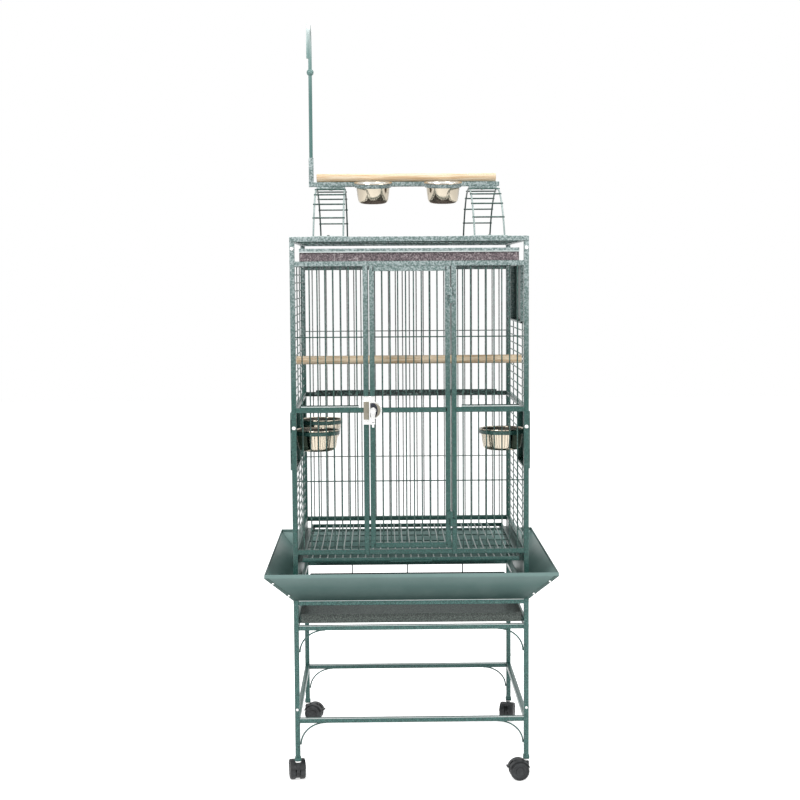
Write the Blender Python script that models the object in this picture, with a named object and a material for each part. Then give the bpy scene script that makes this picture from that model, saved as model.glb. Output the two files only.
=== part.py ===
"""Play top parrot cage on a castered stand, in metres, +Z up.

The cage's front faces -Y and +X is to the right of someone who looks at it.
The origin is on the floor, under the middle of the cage.
"""

import math

import bmesh
import bpy
from mathutils import Matrix, Vector

# Overall sizes
CAGE_WIDTH = 0.610
CAGE_DEPTH = 0.559
TUBE = 0.0127
STILE = 0.0127
STRIP = 0.005
FIT = 0.0003
OVERLAP = 0.003

# Levels above the floor
LEG_BOTTOM = 0.055
SHELF_RAIL_Z = 0.1624
TRAY_RAIL_Z = 0.4076
STAND_TOP = 0.480
BASE_RAIL_Z = 0.606
BELLY_RAIL_Z = 0.9740
HEAD_RAIL_Z = 1.3488
REAR_HEAD_RAIL_Z = 1.3415
ROOF_TOP = 1.4175

# Bars and wires
BAR = 0.0035
CROSS_WIRE = 0.0030
BAR_SIDES = 4
SQUARE_GROWTH = 1.253
FRONT_FIELD_BARS = 8
FRONT_BAR_PITCH = 0.0200
REAR_BARS = 28
ROOF_WIRES = 28
ROOF_CROSS_WIRE_COUNT = 2
SIDE_ROWS = 17
SIDE_COLUMNS = 3

# Door
DOORWAY_WIDTH = 0.214
DOOR_GAP = 0.0038
DOOR_LIFT = 0.005
DOOR_BARS = 8
HINGE_OUT = 0.0045
HINGE_PIN = 0.0050
KNUCKLE = 0.0085
KNUCKLE_LENGTH = 0.020
HINGE_BORE_GAP = 0.0004
HINGE_ABOVE_SILL = 0.075
HINGE_BELOW_HEAD = 0.075

# Door lock
LOCK_IN = 0.0078
LOCK_DISC = 0.046
LOCK_DISC_THICK = 0.004
LOCK_BOSS = 0.015
LOCK_BOSS_OUT = 0.006
KEEPER_HEIGHT = 0.073
KEEPER_THICK = 0.0035
LEVER_LENGTH = 0.0405
LEVER_HUB = 0.0174
LEVER_TIP = 0.006
LEVER_THICK = 0.007
LEVER_PIN = 0.006

# Feeder doors, cups and rings
FEEDER_CUP_RIM = 0.120
FEEDER_CUP_BODY = 0.112
FEEDER_CUP_FOOT = 0.082
FEEDER_CUP_DEPTH = 0.056
PLAY_CUP_RIM = 0.103
PLAY_CUP_BODY = 0.091
PLAY_CUP_FOOT = 0.064
PLAY_CUP_DEPTH = 0.056
CUP_WALL = 0.0012
CUP_RIM_LIP = 0.0030
CUP_KNEE = 0.20
CUP_SEGMENTS = 16
RING_WALL = 0.003
RING_HEIGHT = 0.010
RING_GAP = 0.0006
RING_ARM_HEIGHT = 0.008
RING_ARM_WIDTH = 0.016
FEEDER_CUP_RIM_Z = 0.9165
FEEDER_CUP_IN = 0.062
FEEDER_OPENING = 0.180
FEEDER_SILL_ROW = 10
FEEDER_LAP = 0.005
FEEDER_PLATE = 0.0015
FEEDER_FLANGE = 0.004
REAR_FEEDER_FROM_BACK = 0.244
FEEDER_CUP_FROM_HINGE = 0.085
FEEDER_HINGE = 0.001
LATCH_HUB = 0.012
LATCH_LENGTH = 0.024
LATCH_THICK = 0.003
LATCH_PIN = 0.004

# Nest box door, in the right wall
NEST_FROM_FRONT = 0.105
NEST_WIDTH = 0.295
NEST_SILL_ROW = 10
NEST_RIB = 0.016

# Perches
PERCH = 0.0222
PERCH_FROM_FRONT = 0.118
PERCH_ROW = 5
PERCH_BOLT = 0.005
PERCH_BOLT_DEPTH = 0.025
PERCH_WASHER = 0.024
PERCH_WASHER_THICK = 0.002
WING_LENGTH = 0.022
WING_HEIGHT = 0.010
WING_THICK = 0.004

# Grate and trays
GRATE_SIDE_GAP = 0.0123
GRATE_BAR_HEIGHT = 0.0105
GRATE_BAR_THICK = 0.005
GRATE_WIRES = 27
GRATE_CROSS_WIRE_COUNT = 3
GRATE_HANDLE_WIDTH = 0.110
GRATE_HANDLE_OUT = 0.010
GRATE_HANDLE_THICK = 0.003
GRATE_DROP = 0.008
RUNNER_THICK = 0.002
RUNNER_IN = 0.022
SKIRT_HEIGHT = 0.095
TRAY_WALL = 0.0012
TRAY_LIP = 0.006
BOTTOM_TRAY_SIDE_GAP = 0.0058
BOTTOM_TRAY_HEIGHT = 0.0242
BOTTOM_TRAY_LIFT = 0.0071
TOP_TRAY_SIDE_GAP = 0.0123
TOP_TRAY_HEIGHT = 0.0318
TRAY_BACK_GAP = 0.006

# Seed guards
GUARD_OUT = 0.070
GUARD_RISE = 0.073
GUARD_SHEET = 0.0012
GUARD_LIP = 0.009
GUARD_TAB = 0.010

# Stand braces and stop wires
BRACE = 0.004
BRACE_RUN = 0.066
BRACE_DROP = 0.058
BRACE_STEPS = 6
STOP_WIRE_PITCH = 0.163
STOP_WIRE_COUNT = 3

# Casters
WHEEL = 0.050
WHEEL_WIDTH = 0.0145
WHEEL_ROUND = 0.003
WHEEL_SEGMENTS = 16
HUB_PLATE = 0.009
HUB_GAP = 0.0012
AXLE = 0.008
HOOD_THICK = 0.002
HOOD_GAP = 0.0016
CASTER_TRAIL = 0.019
CASTER_STEM = 0.008
STEM_DEPTH = 0.028
STEM_GAP = 0.0004
COLLAR = 0.016
COLLAR_HEIGHT = 0.004

# Play stand on the roof
ARCH_GAUGE = 0.0765
ARCH_IN = 0.099
ARCH_TOP_Z = 1.5525
ARCH_FOOT_IN = 0.0175
ARCH_RAIL = 0.0045
ARCH_RUNG = 0.0040
ARCH_STEPS = 10
ARCH_INTERVALS = 10
FOOT_LENGTH = 0.092
FOOT_WIDTH = 0.012
FOOT_THICK = 0.0020
TOP_PLATE_WIDTH = 0.022
TOP_PLATE_THICK = 0.0040
PLAY_BAR_IN_LEFT = 0.0394
PLAY_BAR_IN_RIGHT = 0.0541
PLAY_PERCH_INSET_LEFT = 0.021
PLAY_PERCH_INSET_RIGHT = 0.009
SLEEVE_TOP_Z = 1.6375
POLE = 0.0095
POLE_GAP = 0.0003
HOOK_TOP_Z = 1.9856
HOOK_RADIUS = 0.055
HOOK_TAIL = 0.038
HOOK_BALL = 0.0192
HOOK_BALL_UNDER_BEND = 0.060
HOOK_STEPS = 9
PLAY_CUP_LEFT_X = -0.0915
PLAY_CUP_RIGHT_X = 0.0955
PLAY_CUP_TILT = math.radians(8.0)
PLAY_CUP_OUT = 0.010

# Places worked out from the sizes
LEFT = -CAGE_WIDTH / 2
RIGHT = CAGE_WIDTH / 2
FRONT = -CAGE_DEPTH / 2
BACK = CAGE_DEPTH / 2
HALF_TUBE = TUBE / 2
BASE_TOP = BASE_RAIL_Z + HALF_TUBE
BELLY_BOTTOM = BELLY_RAIL_Z - HALF_TUBE
BELLY_TOP = BELLY_RAIL_Z + HALF_TUBE
HEAD_BOTTOM = HEAD_RAIL_Z - HALF_TUBE
HEAD_TOP = HEAD_RAIL_Z + HALF_TUBE
POST_BOTTOM = STAND_TOP + FIT
POST_TOP = ROOF_TOP - TUBE - FIT
CROSS_OFFSET = (BAR + CROSS_WIRE) / 2 + FIT
LOWER_PITCH = (BELLY_BOTTOM - BASE_TOP) / SIDE_ROWS
UPPER_PITCH = (HEAD_BOTTOM - BELLY_TOP) / SIDE_ROWS
FEEDER_SILL_Z = BASE_TOP + LOWER_PITCH * FEEDER_SILL_ROW
NEST_SILL_Z = BELLY_TOP + UPPER_PITCH * NEST_SILL_ROW
PERCH_Z = BELLY_TOP + UPPER_PITCH * (PERCH_ROW + 0.5)
SIDE_FRONT = FRONT + TUBE + FIT
SIDE_BACK = BACK - TUBE - FIT
GRATE_TOP = BASE_RAIL_Z - HALF_TUBE - GRATE_DROP
GRATE_BOTTOM = GRATE_TOP - GRATE_BAR_HEIGHT
GRATE_WIDTH = CAGE_WIDTH - 2 * (TUBE + GRATE_SIDE_GAP)
BOTTOM_TRAY_WIDTH = CAGE_WIDTH - 2 * (TUBE + BOTTOM_TRAY_SIDE_GAP)
TOP_TRAY_WIDTH = CAGE_WIDTH - 2 * (TUBE + TOP_TRAY_SIDE_GAP)
DOORWAY_LEFT = -DOORWAY_WIDTH / 2
DOORWAY_RIGHT = DOORWAY_WIDTH / 2
DOOR_LEFT = DOORWAY_LEFT + DOOR_GAP
DOOR_RIGHT = DOORWAY_RIGHT - DOOR_GAP
DOOR_BOTTOM = BASE_TOP + DOOR_LIFT
DOOR_TOP = HEAD_BOTTOM - FIT
HINGE_X = DOOR_RIGHT + DOOR_GAP / 2
HINGE_Y = FRONT - HINGE_OUT
ARCH_CENTRE_X = RIGHT - ARCH_IN
ARCH_HALF_SPAN = BACK - ARCH_FOOT_IN
ARCH_FOOT_Z = ROOF_TOP + FIT + FOOT_THICK
PLAY_BAR_LEFT = LEFT + PLAY_BAR_IN_LEFT
PLAY_BAR_RIGHT = RIGHT - PLAY_BAR_IN_RIGHT
PLAY_BAR_BOTTOM = ARCH_TOP_Z + ARCH_RAIL / 2 + TOP_PLATE_THICK + FIT


# Colours and finishes

def linear(hex_colour):
    """Turn an sRGB hex colour into Blender's linear values."""
    values = []
    for start in (0, 2, 4):
        share = int(hex_colour[start:start + 2], 16) / 255
        values.append(share / 12.92 if share <= 0.04045 else ((share + 0.055) / 1.055) ** 2.4)
    return (values[0], values[1], values[2], 1.0)


def finish(name, hex_colour, roughness, metallic):
    """Make a plain Principled material."""
    material = bpy.data.materials.new(name)
    material.use_nodes = True
    shader = material.node_tree.nodes["Principled BSDF"]
    shader.inputs["Base Color"].default_value = linear(hex_colour)
    shader.inputs["Roughness"].default_value = roughness
    shader.inputs["Metallic"].default_value = metallic
    return material


FINISHES = {
    "hammertone": ("green_hammertone_paint", "2f5c56", 0.42, 0.25),
    "green_sheet": ("green_painted_sheet", "4a6a66", 0.40, 0.20),
    "steel": ("polished_stainless_steel", "b9b2a4", 0.20, 1.00),
    "plated": ("nickel_plated_steel", "c9c9c6", 0.28, 1.00),
    "wood": ("pale_turned_beech", "dcb58c", 0.60, 0.00),
    "rubber": ("black_moulded_nylon", "26282a", 0.55, 0.00),
}


# Mesh helpers

def place(name, mesh_data, kind, origin=(0.0, 0.0, 0.0), parent=None):
    """Make the object NAME from a bmesh, with its origin at a chosen point."""
    mesh_data.normal_update()
    mesh = bpy.data.meshes.new(name)
    mesh_data.to_mesh(mesh)
    mesh_data.free()
    mesh.transform(Matrix.Translation(-Vector(origin)))
    mesh.shade_smooth()
    mesh.set_sharp_from_angle(angle=math.radians(40.0))
    thing = bpy.data.objects.new(name, mesh)
    thing.location = origin
    bpy.context.scene.collection.objects.link(thing)
    title, colour, roughness, metallic = FINISHES[kind]
    material = bpy.data.materials.get(title) or finish(title, colour, roughness, metallic)
    mesh.materials.append(material)
    if parent is not None:
        thing.parent = parent
        thing.matrix_parent_inverse = Matrix.Translation(-parent.location)
    return thing


def block(low, high):
    """Make a box between two corners."""
    shape = bmesh.new()
    size = [high[axis] - low[axis] for axis in range(3)]
    middle = [(high[axis] + low[axis]) / 2 for axis in range(3)]
    bmesh.ops.create_cube(shape, size=1.0)
    bmesh.ops.scale(shape, vec=size, verts=shape.verts)
    bmesh.ops.translate(shape, vec=middle, verts=shape.verts)
    return shape


def rod(start, end, diameter, sides=BAR_SIDES):
    """Make a straight bar from START to END.

    A bar with four sides has its flats square to the world and the area of the round one.
    """
    shape = bmesh.new()
    run = Vector(end) - Vector(start)
    radius = diameter / 2 * (SQUARE_GROWTH if sides == 4 else 1.0)
    bmesh.ops.create_cone(shape, cap_ends=True, segments=sides, radius1=radius, radius2=radius,
                          depth=run.length)
    if sides == 4:
        moved(shape, Matrix.Rotation(math.pi / 4, 4, "Z"))
    turn = run.to_track_quat("Z", "Y").to_matrix().to_4x4()
    middle = Matrix.Translation((Vector(start) + Vector(end)) / 2)
    bmesh.ops.transform(shape, matrix=middle @ turn, verts=shape.verts)
    return shape


def merged(shapes):
    """Put several separate shapes into one bmesh and free them."""
    total = bmesh.new()
    for shape in shapes:
        mesh = bpy.data.meshes.new("piece")
        shape.to_mesh(mesh)
        shape.free()
        total.from_mesh(mesh)
        bpy.data.meshes.remove(mesh)
    return total


def combined(base, tool, operation):
    """Join BASE with TOOL, or cut it by TOOL, with the exact solver."""
    pair = []
    for shape in (base, tool):
        mesh = bpy.data.meshes.new("work")
        shape.to_mesh(mesh)
        shape.free()
        thing = bpy.data.objects.new("work", mesh)
        bpy.context.scene.collection.objects.link(thing)
        pair.append(thing)
    modifier = pair[0].modifiers.new("join", "BOOLEAN")
    modifier.solver = "EXACT"
    modifier.operation = operation
    modifier.object = pair[1]
    bpy.context.view_layer.update()
    graph = bpy.context.evaluated_depsgraph_get()
    mesh = bpy.data.meshes.new_from_object(pair[0].evaluated_get(graph))
    result = bmesh.new()
    result.from_mesh(mesh)
    bpy.data.meshes.remove(mesh)
    for thing in pair:
        bpy.data.objects.remove(thing)
    return result


def joined(base, *tools):
    """Join a shape with others, one after another."""
    for tool in tools:
        base = combined(base, tool, "UNION")
    return base


def cut(base, *tools):
    """Cut others out of a shape, one after another."""
    for tool in tools:
        base = combined(base, tool, "DIFFERENCE")
    return base


def turned(profile, segments):
    """Spin a profile of (radius, height) points about Z into a closed solid."""
    shape = bmesh.new()
    points = [shape.verts.new((radius, 0.0, height)) for radius, height in profile]
    on_axis = profile[0][0] == 0.0
    count = len(points)
    for index in range(count - 1 if on_axis else count):
        shape.edges.new((points[index], points[(index + 1) % count]))
    bmesh.ops.spin(shape, geom=shape.verts[:] + shape.edges[:], cent=(0, 0, 0), axis=(0, 0, 1),
                   angle=math.tau, steps=segments, use_merge=True)
    bmesh.ops.remove_doubles(shape, verts=shape.verts, dist=1e-6)
    bmesh.ops.recalc_face_normals(shape, faces=shape.faces)
    return shape


def swept(points, diameter):
    """Make a round bar that follows a smooth line of points."""
    curve = bpy.data.curves.new("path", "CURVE")
    curve.dimensions = "3D"
    curve.bevel_depth = diameter / 2
    curve.bevel_resolution = 0
    curve.use_fill_caps = True
    spline = curve.splines.new("POLY")
    spline.points.add(len(points) - 1)
    for target, point in zip(spline.points, points):
        target.co = (point[0], point[1], point[2], 1.0)
    thing = bpy.data.objects.new("path", curve)
    bpy.context.scene.collection.objects.link(thing)
    bpy.context.view_layer.update()
    graph = bpy.context.evaluated_depsgraph_get()
    mesh = bpy.data.meshes.new_from_object(thing.evaluated_get(graph))
    shape = bmesh.new()
    shape.from_mesh(mesh)
    bmesh.ops.remove_doubles(shape, verts=shape.verts, dist=1e-6)
    bmesh.ops.recalc_face_normals(shape, faces=shape.faces)
    bpy.data.objects.remove(thing)
    bpy.data.meshes.remove(mesh)
    return shape


def flat_frame(rectangles, thickness):
    """Extrude the union of (u0, v0, u1, v1) rectangles from w = 0 to THICKNESS."""
    columns = sorted({round(edge, 7) for box in rectangles for edge in (box[0], box[2])})
    rows = sorted({round(edge, 7) for box in rectangles for edge in (box[1], box[3])})
    shape = bmesh.new()
    corners = {}

    def corner(column, row):
        key = (column, row)
        if key not in corners:
            corners[key] = shape.verts.new((columns[column], rows[row], 0.0))
        return corners[key]

    for column in range(len(columns) - 1):
        for row in range(len(rows) - 1):
            u = (columns[column] + columns[column + 1]) / 2
            v = (rows[row] + rows[row + 1]) / 2
            if any(box[0] < u < box[2] and box[1] < v < box[3] for box in rectangles):
                shape.faces.new((corner(column, row), corner(column + 1, row),
                                 corner(column + 1, row + 1), corner(column, row + 1)))
    grown = bmesh.ops.extrude_face_region(shape, geom=shape.faces[:])
    moved = [item for item in grown["geom"] if isinstance(item, bmesh.types.BMVert)]
    bmesh.ops.translate(shape, vec=(0.0, 0.0, thickness), verts=moved)
    bmesh.ops.recalc_face_normals(shape, faces=shape.faces)
    bmesh.ops.dissolve_limit(shape, angle_limit=math.radians(1.0), verts=shape.verts,
                             edges=shape.edges)
    return shape


def stood(shape, plane, offset):
    """Stand a flat frame up: plane XZ at y = OFFSET, YZ at x = OFFSET, or XY at z = OFFSET."""
    axes = {
        "XZ": Matrix(((1, 0, 0, 0), (0, 0, 1, offset), (0, 1, 0, 0), (0, 0, 0, 1))),
        "YZ": Matrix(((0, 0, 1, offset), (1, 0, 0, 0), (0, 1, 0, 0), (0, 0, 0, 1))),
        "XY": Matrix.Translation((0, 0, offset)),
    }
    bmesh.ops.transform(shape, matrix=axes[plane], verts=shape.verts)
    bmesh.ops.recalc_face_normals(shape, faces=shape.faces)
    return shape


def moved(shape, matrix):
    """Move or turn a shape."""
    bmesh.ops.transform(shape, matrix=matrix, verts=shape.verts)
    if matrix.determinant() < 0:
        bmesh.ops.reverse_faces(shape, faces=shape.faces)
    return shape


def spread(low, high, count):
    """Give COUNT places evenly spaced between two edges."""
    step = (high - low) / (count + 1)
    return [low + step * (index + 1) for index in range(count)]


# Stand

def corner_brace(inner_x, rail_bottom, y, side):
    """Make the bent rod that stiffens the corner under a rail, against a leg."""
    start_x = inner_x - side * (BRACE / 2 + FIT)
    points = []
    for step in range(BRACE_STEPS + 1):
        angle = math.pi / 2 * step / BRACE_STEPS
        x = start_x - side * BRACE_RUN * (1 - math.cos(angle))
        z = rail_bottom - BRACE_DROP * (1 - math.sin(angle))
        points.append((x, y, z + BRACE / 4))
    return swept(points, BRACE)


def cross_rail(name, centre_z, y_low, braced):
    """Make a rail between the left and right frames, with or without braces."""
    inner = RIGHT - TUBE
    shape = block((-inner + FIT, y_low, centre_z - HALF_TUBE),
                  (inner - FIT, y_low + TUBE, centre_z + HALF_TUBE))
    if braced:
        for side in (-1, 1):
            brace = corner_brace(side * inner, centre_z - HALF_TUBE, y_low + HALF_TUBE, side)
            shape = joined(shape, brace)
    return place(name, shape, "hammertone")


def stand_side(name, side):
    """Make one side of the stand: two legs, three rails and the tray runner."""
    front_leg = (FRONT, LEG_BOTTOM, FRONT + TUBE, STAND_TOP)
    rear_leg = (BACK - TUBE, LEG_BOTTOM, BACK, STAND_TOP)
    rails = [(FRONT, z - HALF_TUBE, BACK, z + HALF_TUBE)
             for z in (SHELF_RAIL_Z, TRAY_RAIL_Z, STAND_TOP - HALF_TUBE)]
    low_x = LEFT if side < 0 else RIGHT - TUBE
    shape = stood(flat_frame([front_leg, rear_leg] + rails, TUBE), "YZ", low_x)
    inner = side * (RIGHT - TUBE)
    ends = sorted((inner + side * OVERLAP, inner - side * RUNNER_IN))
    runner_top = TRAY_RAIL_Z + HALF_TUBE + BOTTOM_TRAY_LIFT - FIT
    runner = block((ends[0], FRONT + TUBE, TRAY_RAIL_Z), (ends[1], BACK - TUBE, runner_top))
    carved = block((min(ends[0], inner) if side > 0 else inner, FRONT, TRAY_RAIL_Z - HALF_TUBE),
                   (inner if side > 0 else max(ends[1], inner), BACK,
                    runner_top - RUNNER_THICK))
    shape = joined(shape, cut(runner, carved))
    sockets = [rod((inner + side * HALF_TUBE, y, LEG_BOTTOM - OVERLAP),
                   (inner + side * HALF_TUBE, y, LEG_BOTTOM + STEM_DEPTH),
                   CASTER_STEM + 2 * STEM_GAP, sides=12)
               for y in (FRONT + HALF_TUBE, BACK - HALF_TUBE)]
    shape = cut(shape, merged(sockets))
    return place(name, shape, "hammertone")


def rear_tray_gate():
    """Make the two rear rails with the stop wires that keep the tray from falling out."""
    inner = RIGHT - TUBE - FIT
    y_low = BACK - TUBE
    rails = [(-inner, z - HALF_TUBE, inner, z + HALF_TUBE)
             for z in (TRAY_RAIL_Z, STAND_TOP - HALF_TUBE)]
    shapes = [stood(flat_frame([rail], TUBE), "XZ", y_low) for rail in rails]
    first = (STOP_WIRE_COUNT - 1) / 2
    wires = [rod((STOP_WIRE_PITCH * (index - first), y_low + HALF_TUBE, TRAY_RAIL_Z),
                 (STOP_WIRE_PITCH * (index - first), y_low + HALF_TUBE, STAND_TOP - HALF_TUBE),
                 BAR) for index in range(STOP_WIRE_COUNT)]
    shape = joined(merged(shapes), merged(wires))
    for side in (-1, 1):
        brace = corner_brace(side * (RIGHT - TUBE), TRAY_RAIL_Z - HALF_TUBE,
                             y_low + HALF_TUBE, side)
        shape = joined(shape, brace)
    return place("rear_tray_gate", shape, "hammertone")


def build_stand():
    """Make the whole welded and bolted stand."""
    stand_side("stand_left_frame", -1)
    stand_side("stand_right_frame", 1)
    cross_rail("stand_front_top_rail", STAND_TOP - HALF_TUBE, FRONT, False)
    cross_rail("stand_front_tray_rail", TRAY_RAIL_Z, FRONT, True)
    cross_rail("stand_front_shelf_rail", SHELF_RAIL_Z, FRONT, True)
    cross_rail("stand_rear_shelf_rail", SHELF_RAIL_Z, BACK - TUBE, True)
    rear_tray_gate()


# Cage walls

def hinge_lugs(knuckle_low, knuckle_high):
    """Make the fixed pin and foot of one door hinge, below the door's own knuckle."""
    low, high = knuckle_low - KNUCKLE_LENGTH, knuckle_low - FIT
    barrel = rod((HINGE_X, HINGE_Y, low), (HINGE_X, HINGE_Y, high), KNUCKLE, sides=12)
    foot = block((HINGE_X + FIT, HINGE_Y - KNUCKLE * 0.38, low + FIT * 2),
                 (DOORWAY_RIGHT + STILE * 0.8, FRONT + OVERLAP, high - FIT * 2))
    pin = rod((HINGE_X, HINGE_Y, knuckle_low - KNUCKLE_LENGTH / 2),
              (HINGE_X, HINGE_Y, knuckle_high + FIT), HINGE_PIN, sides=10)
    return joined(barrel, foot, pin)


def hinge_levels():
    """Give the low and high ends of the door's two hinge knuckles."""
    lower = DOOR_BOTTOM + HINGE_ABOVE_SILL
    upper = DOOR_TOP - HINGE_BELOW_HEAD
    return [(lower, lower + KNUCKLE_LENGTH), (upper, upper + KNUCKLE_LENGTH)]


def front_field(name, side):
    """Make the fixed front panel on one side of the door, with its corner post."""
    outer = sorted((side * RIGHT, side * (RIGHT - TUBE)))
    stile = sorted((side * DOORWAY_RIGHT, side * (DOORWAY_RIGHT + STILE)))
    span = (min(outer[0], stile[0]), max(outer[1], stile[1]))
    rectangles = [
        (outer[0], POST_BOTTOM, outer[1], POST_TOP),
        (stile[0], BASE_RAIL_Z - HALF_TUBE, stile[1], HEAD_TOP),
    ]
    for z in (BASE_RAIL_Z, BELLY_RAIL_Z, HEAD_RAIL_Z):
        rectangles.append((span[0], z - HALF_TUBE, span[1], z + HALF_TUBE))
    shape = stood(flat_frame(rectangles, TUBE), "XZ", FRONT)
    low = outer[1] if side < 0 else stile[1]
    high = stile[0] if side < 0 else outer[0]
    middle_y = FRONT + HALF_TUBE
    half_row = FRONT_BAR_PITCH * (FRONT_FIELD_BARS + 1) / 2
    row = spread((low + high) / 2 - half_row, (low + high) / 2 + half_row, FRONT_FIELD_BARS)
    bars = [rod((x, middle_y, BASE_RAIL_Z), (x, middle_y, HEAD_RAIL_Z), BAR) for x in row]
    wires = [rod((low - HALF_TUBE, middle_y + CROSS_OFFSET, z),
                 (high + HALF_TUBE, middle_y + CROSS_OFFSET, z), CROSS_WIRE)
             for z in ((BASE_TOP + BELLY_BOTTOM) / 2, (BELLY_TOP + HEAD_BOTTOM) / 2)]
    shape = joined(shape, merged(bars + wires))
    if side > 0:
        for knuckle in hinge_levels():
            shape = joined(shape, hinge_lugs(*knuckle))
    return place(name, shape, "hammertone")


def doorway_rail(name, centre_z):
    """Make the rail that closes the doorway above or below the door."""
    reach = DOORWAY_RIGHT - FIT
    shape = block((-reach, FRONT, centre_z - HALF_TUBE), (reach, FRONT + TUBE, centre_z + HALF_TUBE))
    return place(name, shape, "hammertone")


def rear_panel():
    """Make the barred back wall with its two corner posts."""
    rectangles = [
        (LEFT, POST_BOTTOM, LEFT + TUBE, POST_TOP),
        (RIGHT - TUBE, POST_BOTTOM, RIGHT, POST_TOP),
    ]
    for z in (BASE_RAIL_Z, BELLY_RAIL_Z, REAR_HEAD_RAIL_Z):
        rectangles.append((LEFT, z - HALF_TUBE, RIGHT, z + HALF_TUBE))
    shape = stood(flat_frame(rectangles, TUBE), "XZ", BACK - TUBE)
    middle_y = BACK - HALF_TUBE
    inner = RIGHT - TUBE
    bars = [rod((x, middle_y, BASE_RAIL_Z), (x, middle_y, REAR_HEAD_RAIL_Z), BAR)
            for x in spread(-inner, inner, REAR_BARS)]
    wires = [rod((LEFT + HALF_TUBE, middle_y - CROSS_OFFSET, z),
                 (RIGHT - HALF_TUBE, middle_y - CROSS_OFFSET, z), CROSS_WIRE)
             for z in ((BASE_TOP + BELLY_BOTTOM) / 2,
                       (BELLY_TOP + REAR_HEAD_RAIL_Z - HALF_TUBE) / 2)]
    shape = joined(shape, merged(bars + wires))
    return place("rear_panel", shape, "hammertone")


def runs_between(low, high, gaps):
    """Give the stretches from LOW to HIGH that are left between the gaps."""
    runs = []
    start = low
    for gap_low, gap_high in sorted(gaps):
        if gap_low > start + BAR:
            runs.append((start, gap_low))
        start = max(start, gap_high)
    if high > start + BAR:
        runs.append((start, high))
    return runs


def side_panel(name, side, feeders, nest):
    """Make a side wall with its wires, and the framed openings in it.

    FEEDERS lists the front edge of each feeder opening, and NEST is the (front, rear)
    edge of the nest box opening, or None.
    """
    windows = [(start, start + FEEDER_OPENING, FEEDER_SILL_Z, BELLY_RAIL_Z) for start in feeders]
    if nest is not None:
        windows.append((nest[0], nest[1], NEST_SILL_Z, HEAD_RAIL_Z))
    rectangles = [
        (SIDE_FRONT, BASE_RAIL_Z, SIDE_FRONT + STRIP, HEAD_RAIL_Z),
        (SIDE_BACK - STRIP, BASE_RAIL_Z, SIDE_BACK, HEAD_RAIL_Z),
    ]
    for z in (BASE_RAIL_Z, BELLY_RAIL_Z, HEAD_RAIL_Z):
        rectangles.append((SIDE_FRONT, z - HALF_TUBE, SIDE_BACK, z + HALF_TUBE))
    for low, high, sill, head in windows:
        rectangles.append((low - STRIP, sill - STRIP / 2, high + STRIP, sill + STRIP / 2))
        rectangles.append((low - STRIP, sill - STRIP / 2, low, head))
        rectangles.append((high, sill - STRIP / 2, high + STRIP, head))
    low_x = LEFT if side < 0 else RIGHT - TUBE
    shape = stood(flat_frame(rectangles, TUBE), "YZ", low_x)

    wall_x = side * (RIGHT - HALF_TUBE)
    rows = [BASE_TOP + LOWER_PITCH * (row + 1) for row in range(SIDE_ROWS - 1)]
    rows += [BELLY_TOP + UPPER_PITCH * (row + 1) for row in range(SIDE_ROWS - 1)]
    bars = []
    for z in rows:
        gaps = [(low - STRIP / 2, high + STRIP / 2) for low, high, sill, head in windows
                if sill - STRIP / 2 < z < head]
        for start, end in runs_between(SIDE_FRONT + STRIP / 2, SIDE_BACK - STRIP / 2, gaps):
            bars.append(rod((wall_x, start, z), (wall_x, end, z), BAR))
    wires = []
    column_x = wall_x + side * CROSS_OFFSET
    for y in spread(FRONT + TUBE, BACK - TUBE, SIDE_COLUMNS):
        for low_z, high_z in ((BASE_RAIL_Z, BELLY_RAIL_Z), (BELLY_RAIL_Z, HEAD_RAIL_Z)):
            gaps = [(sill, head) for low, high, sill, head in windows
                    if low - STRIP - BAR < y < high + STRIP + BAR and low_z < sill < high_z]
            for start, end in runs_between(low_z, high_z, gaps):
                wires.append(rod((column_x, y, start), (column_x, y, end), CROSS_WIRE))
    shape = joined(shape, merged(bars), merged(wires))
    shape = joined(shape, side_runners(side))
    return place(name, shape, "hammertone")


def side_runners(side):
    """Make the skirt that carries the grate, and the ledge that carries the top tray."""
    web = (RIGHT - TUBE + RUNNER_THICK, RIGHT - TUBE)
    inner = RIGHT - TUBE - RUNNER_IN
    ledge_top = GRATE_BOTTOM - FIT
    skirt_low = BASE_RAIL_Z - SKIRT_HEIGHT
    grate_runner = [
        (web[1], skirt_low, web[0], BASE_RAIL_Z),
        (inner, ledge_top - RUNNER_THICK, web[0], ledge_top),
    ]
    tray_ledge = [(inner, HEAD_TOP - RUNNER_THICK, web[0], HEAD_TOP)]
    shapes = []
    for rectangles in (grate_runner, tray_ledge):
        profile = flat_frame(rectangles, SIDE_BACK - SIDE_FRONT)
        stood(profile, "XZ", SIDE_FRONT)
        if side < 0:
            moved(profile, Matrix.Scale(-1, 4, (1, 0, 0)))
        shapes.append(profile)
    return merged(shapes)


def roof_panel():
    """Make the wired roof, whose frame lies on the four posts."""
    rectangles = [
        (LEFT, FRONT, RIGHT, FRONT + TUBE),
        (LEFT, BACK - TUBE, RIGHT, BACK),
        (LEFT, FRONT, LEFT + TUBE, BACK),
        (RIGHT - TUBE, FRONT, RIGHT, BACK),
    ]
    shape = stood(flat_frame(rectangles, TUBE), "XY", ROOF_TOP - TUBE)
    z = ROOF_TOP - HALF_TUBE
    bars = [rod((x, FRONT + HALF_TUBE, z), (x, BACK - HALF_TUBE, z), BAR)
            for x in spread(LEFT + TUBE, RIGHT - TUBE, ROOF_WIRES)]
    wires = [rod((LEFT + HALF_TUBE, y, z - CROSS_OFFSET), (RIGHT - HALF_TUBE, y, z - CROSS_OFFSET),
                 CROSS_WIRE) for y in spread(FRONT + TUBE, BACK - TUBE, ROOF_CROSS_WIRE_COUNT)]
    shape = joined(shape, merged(bars + wires))
    return place("roof_panel", shape, "hammertone")


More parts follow.
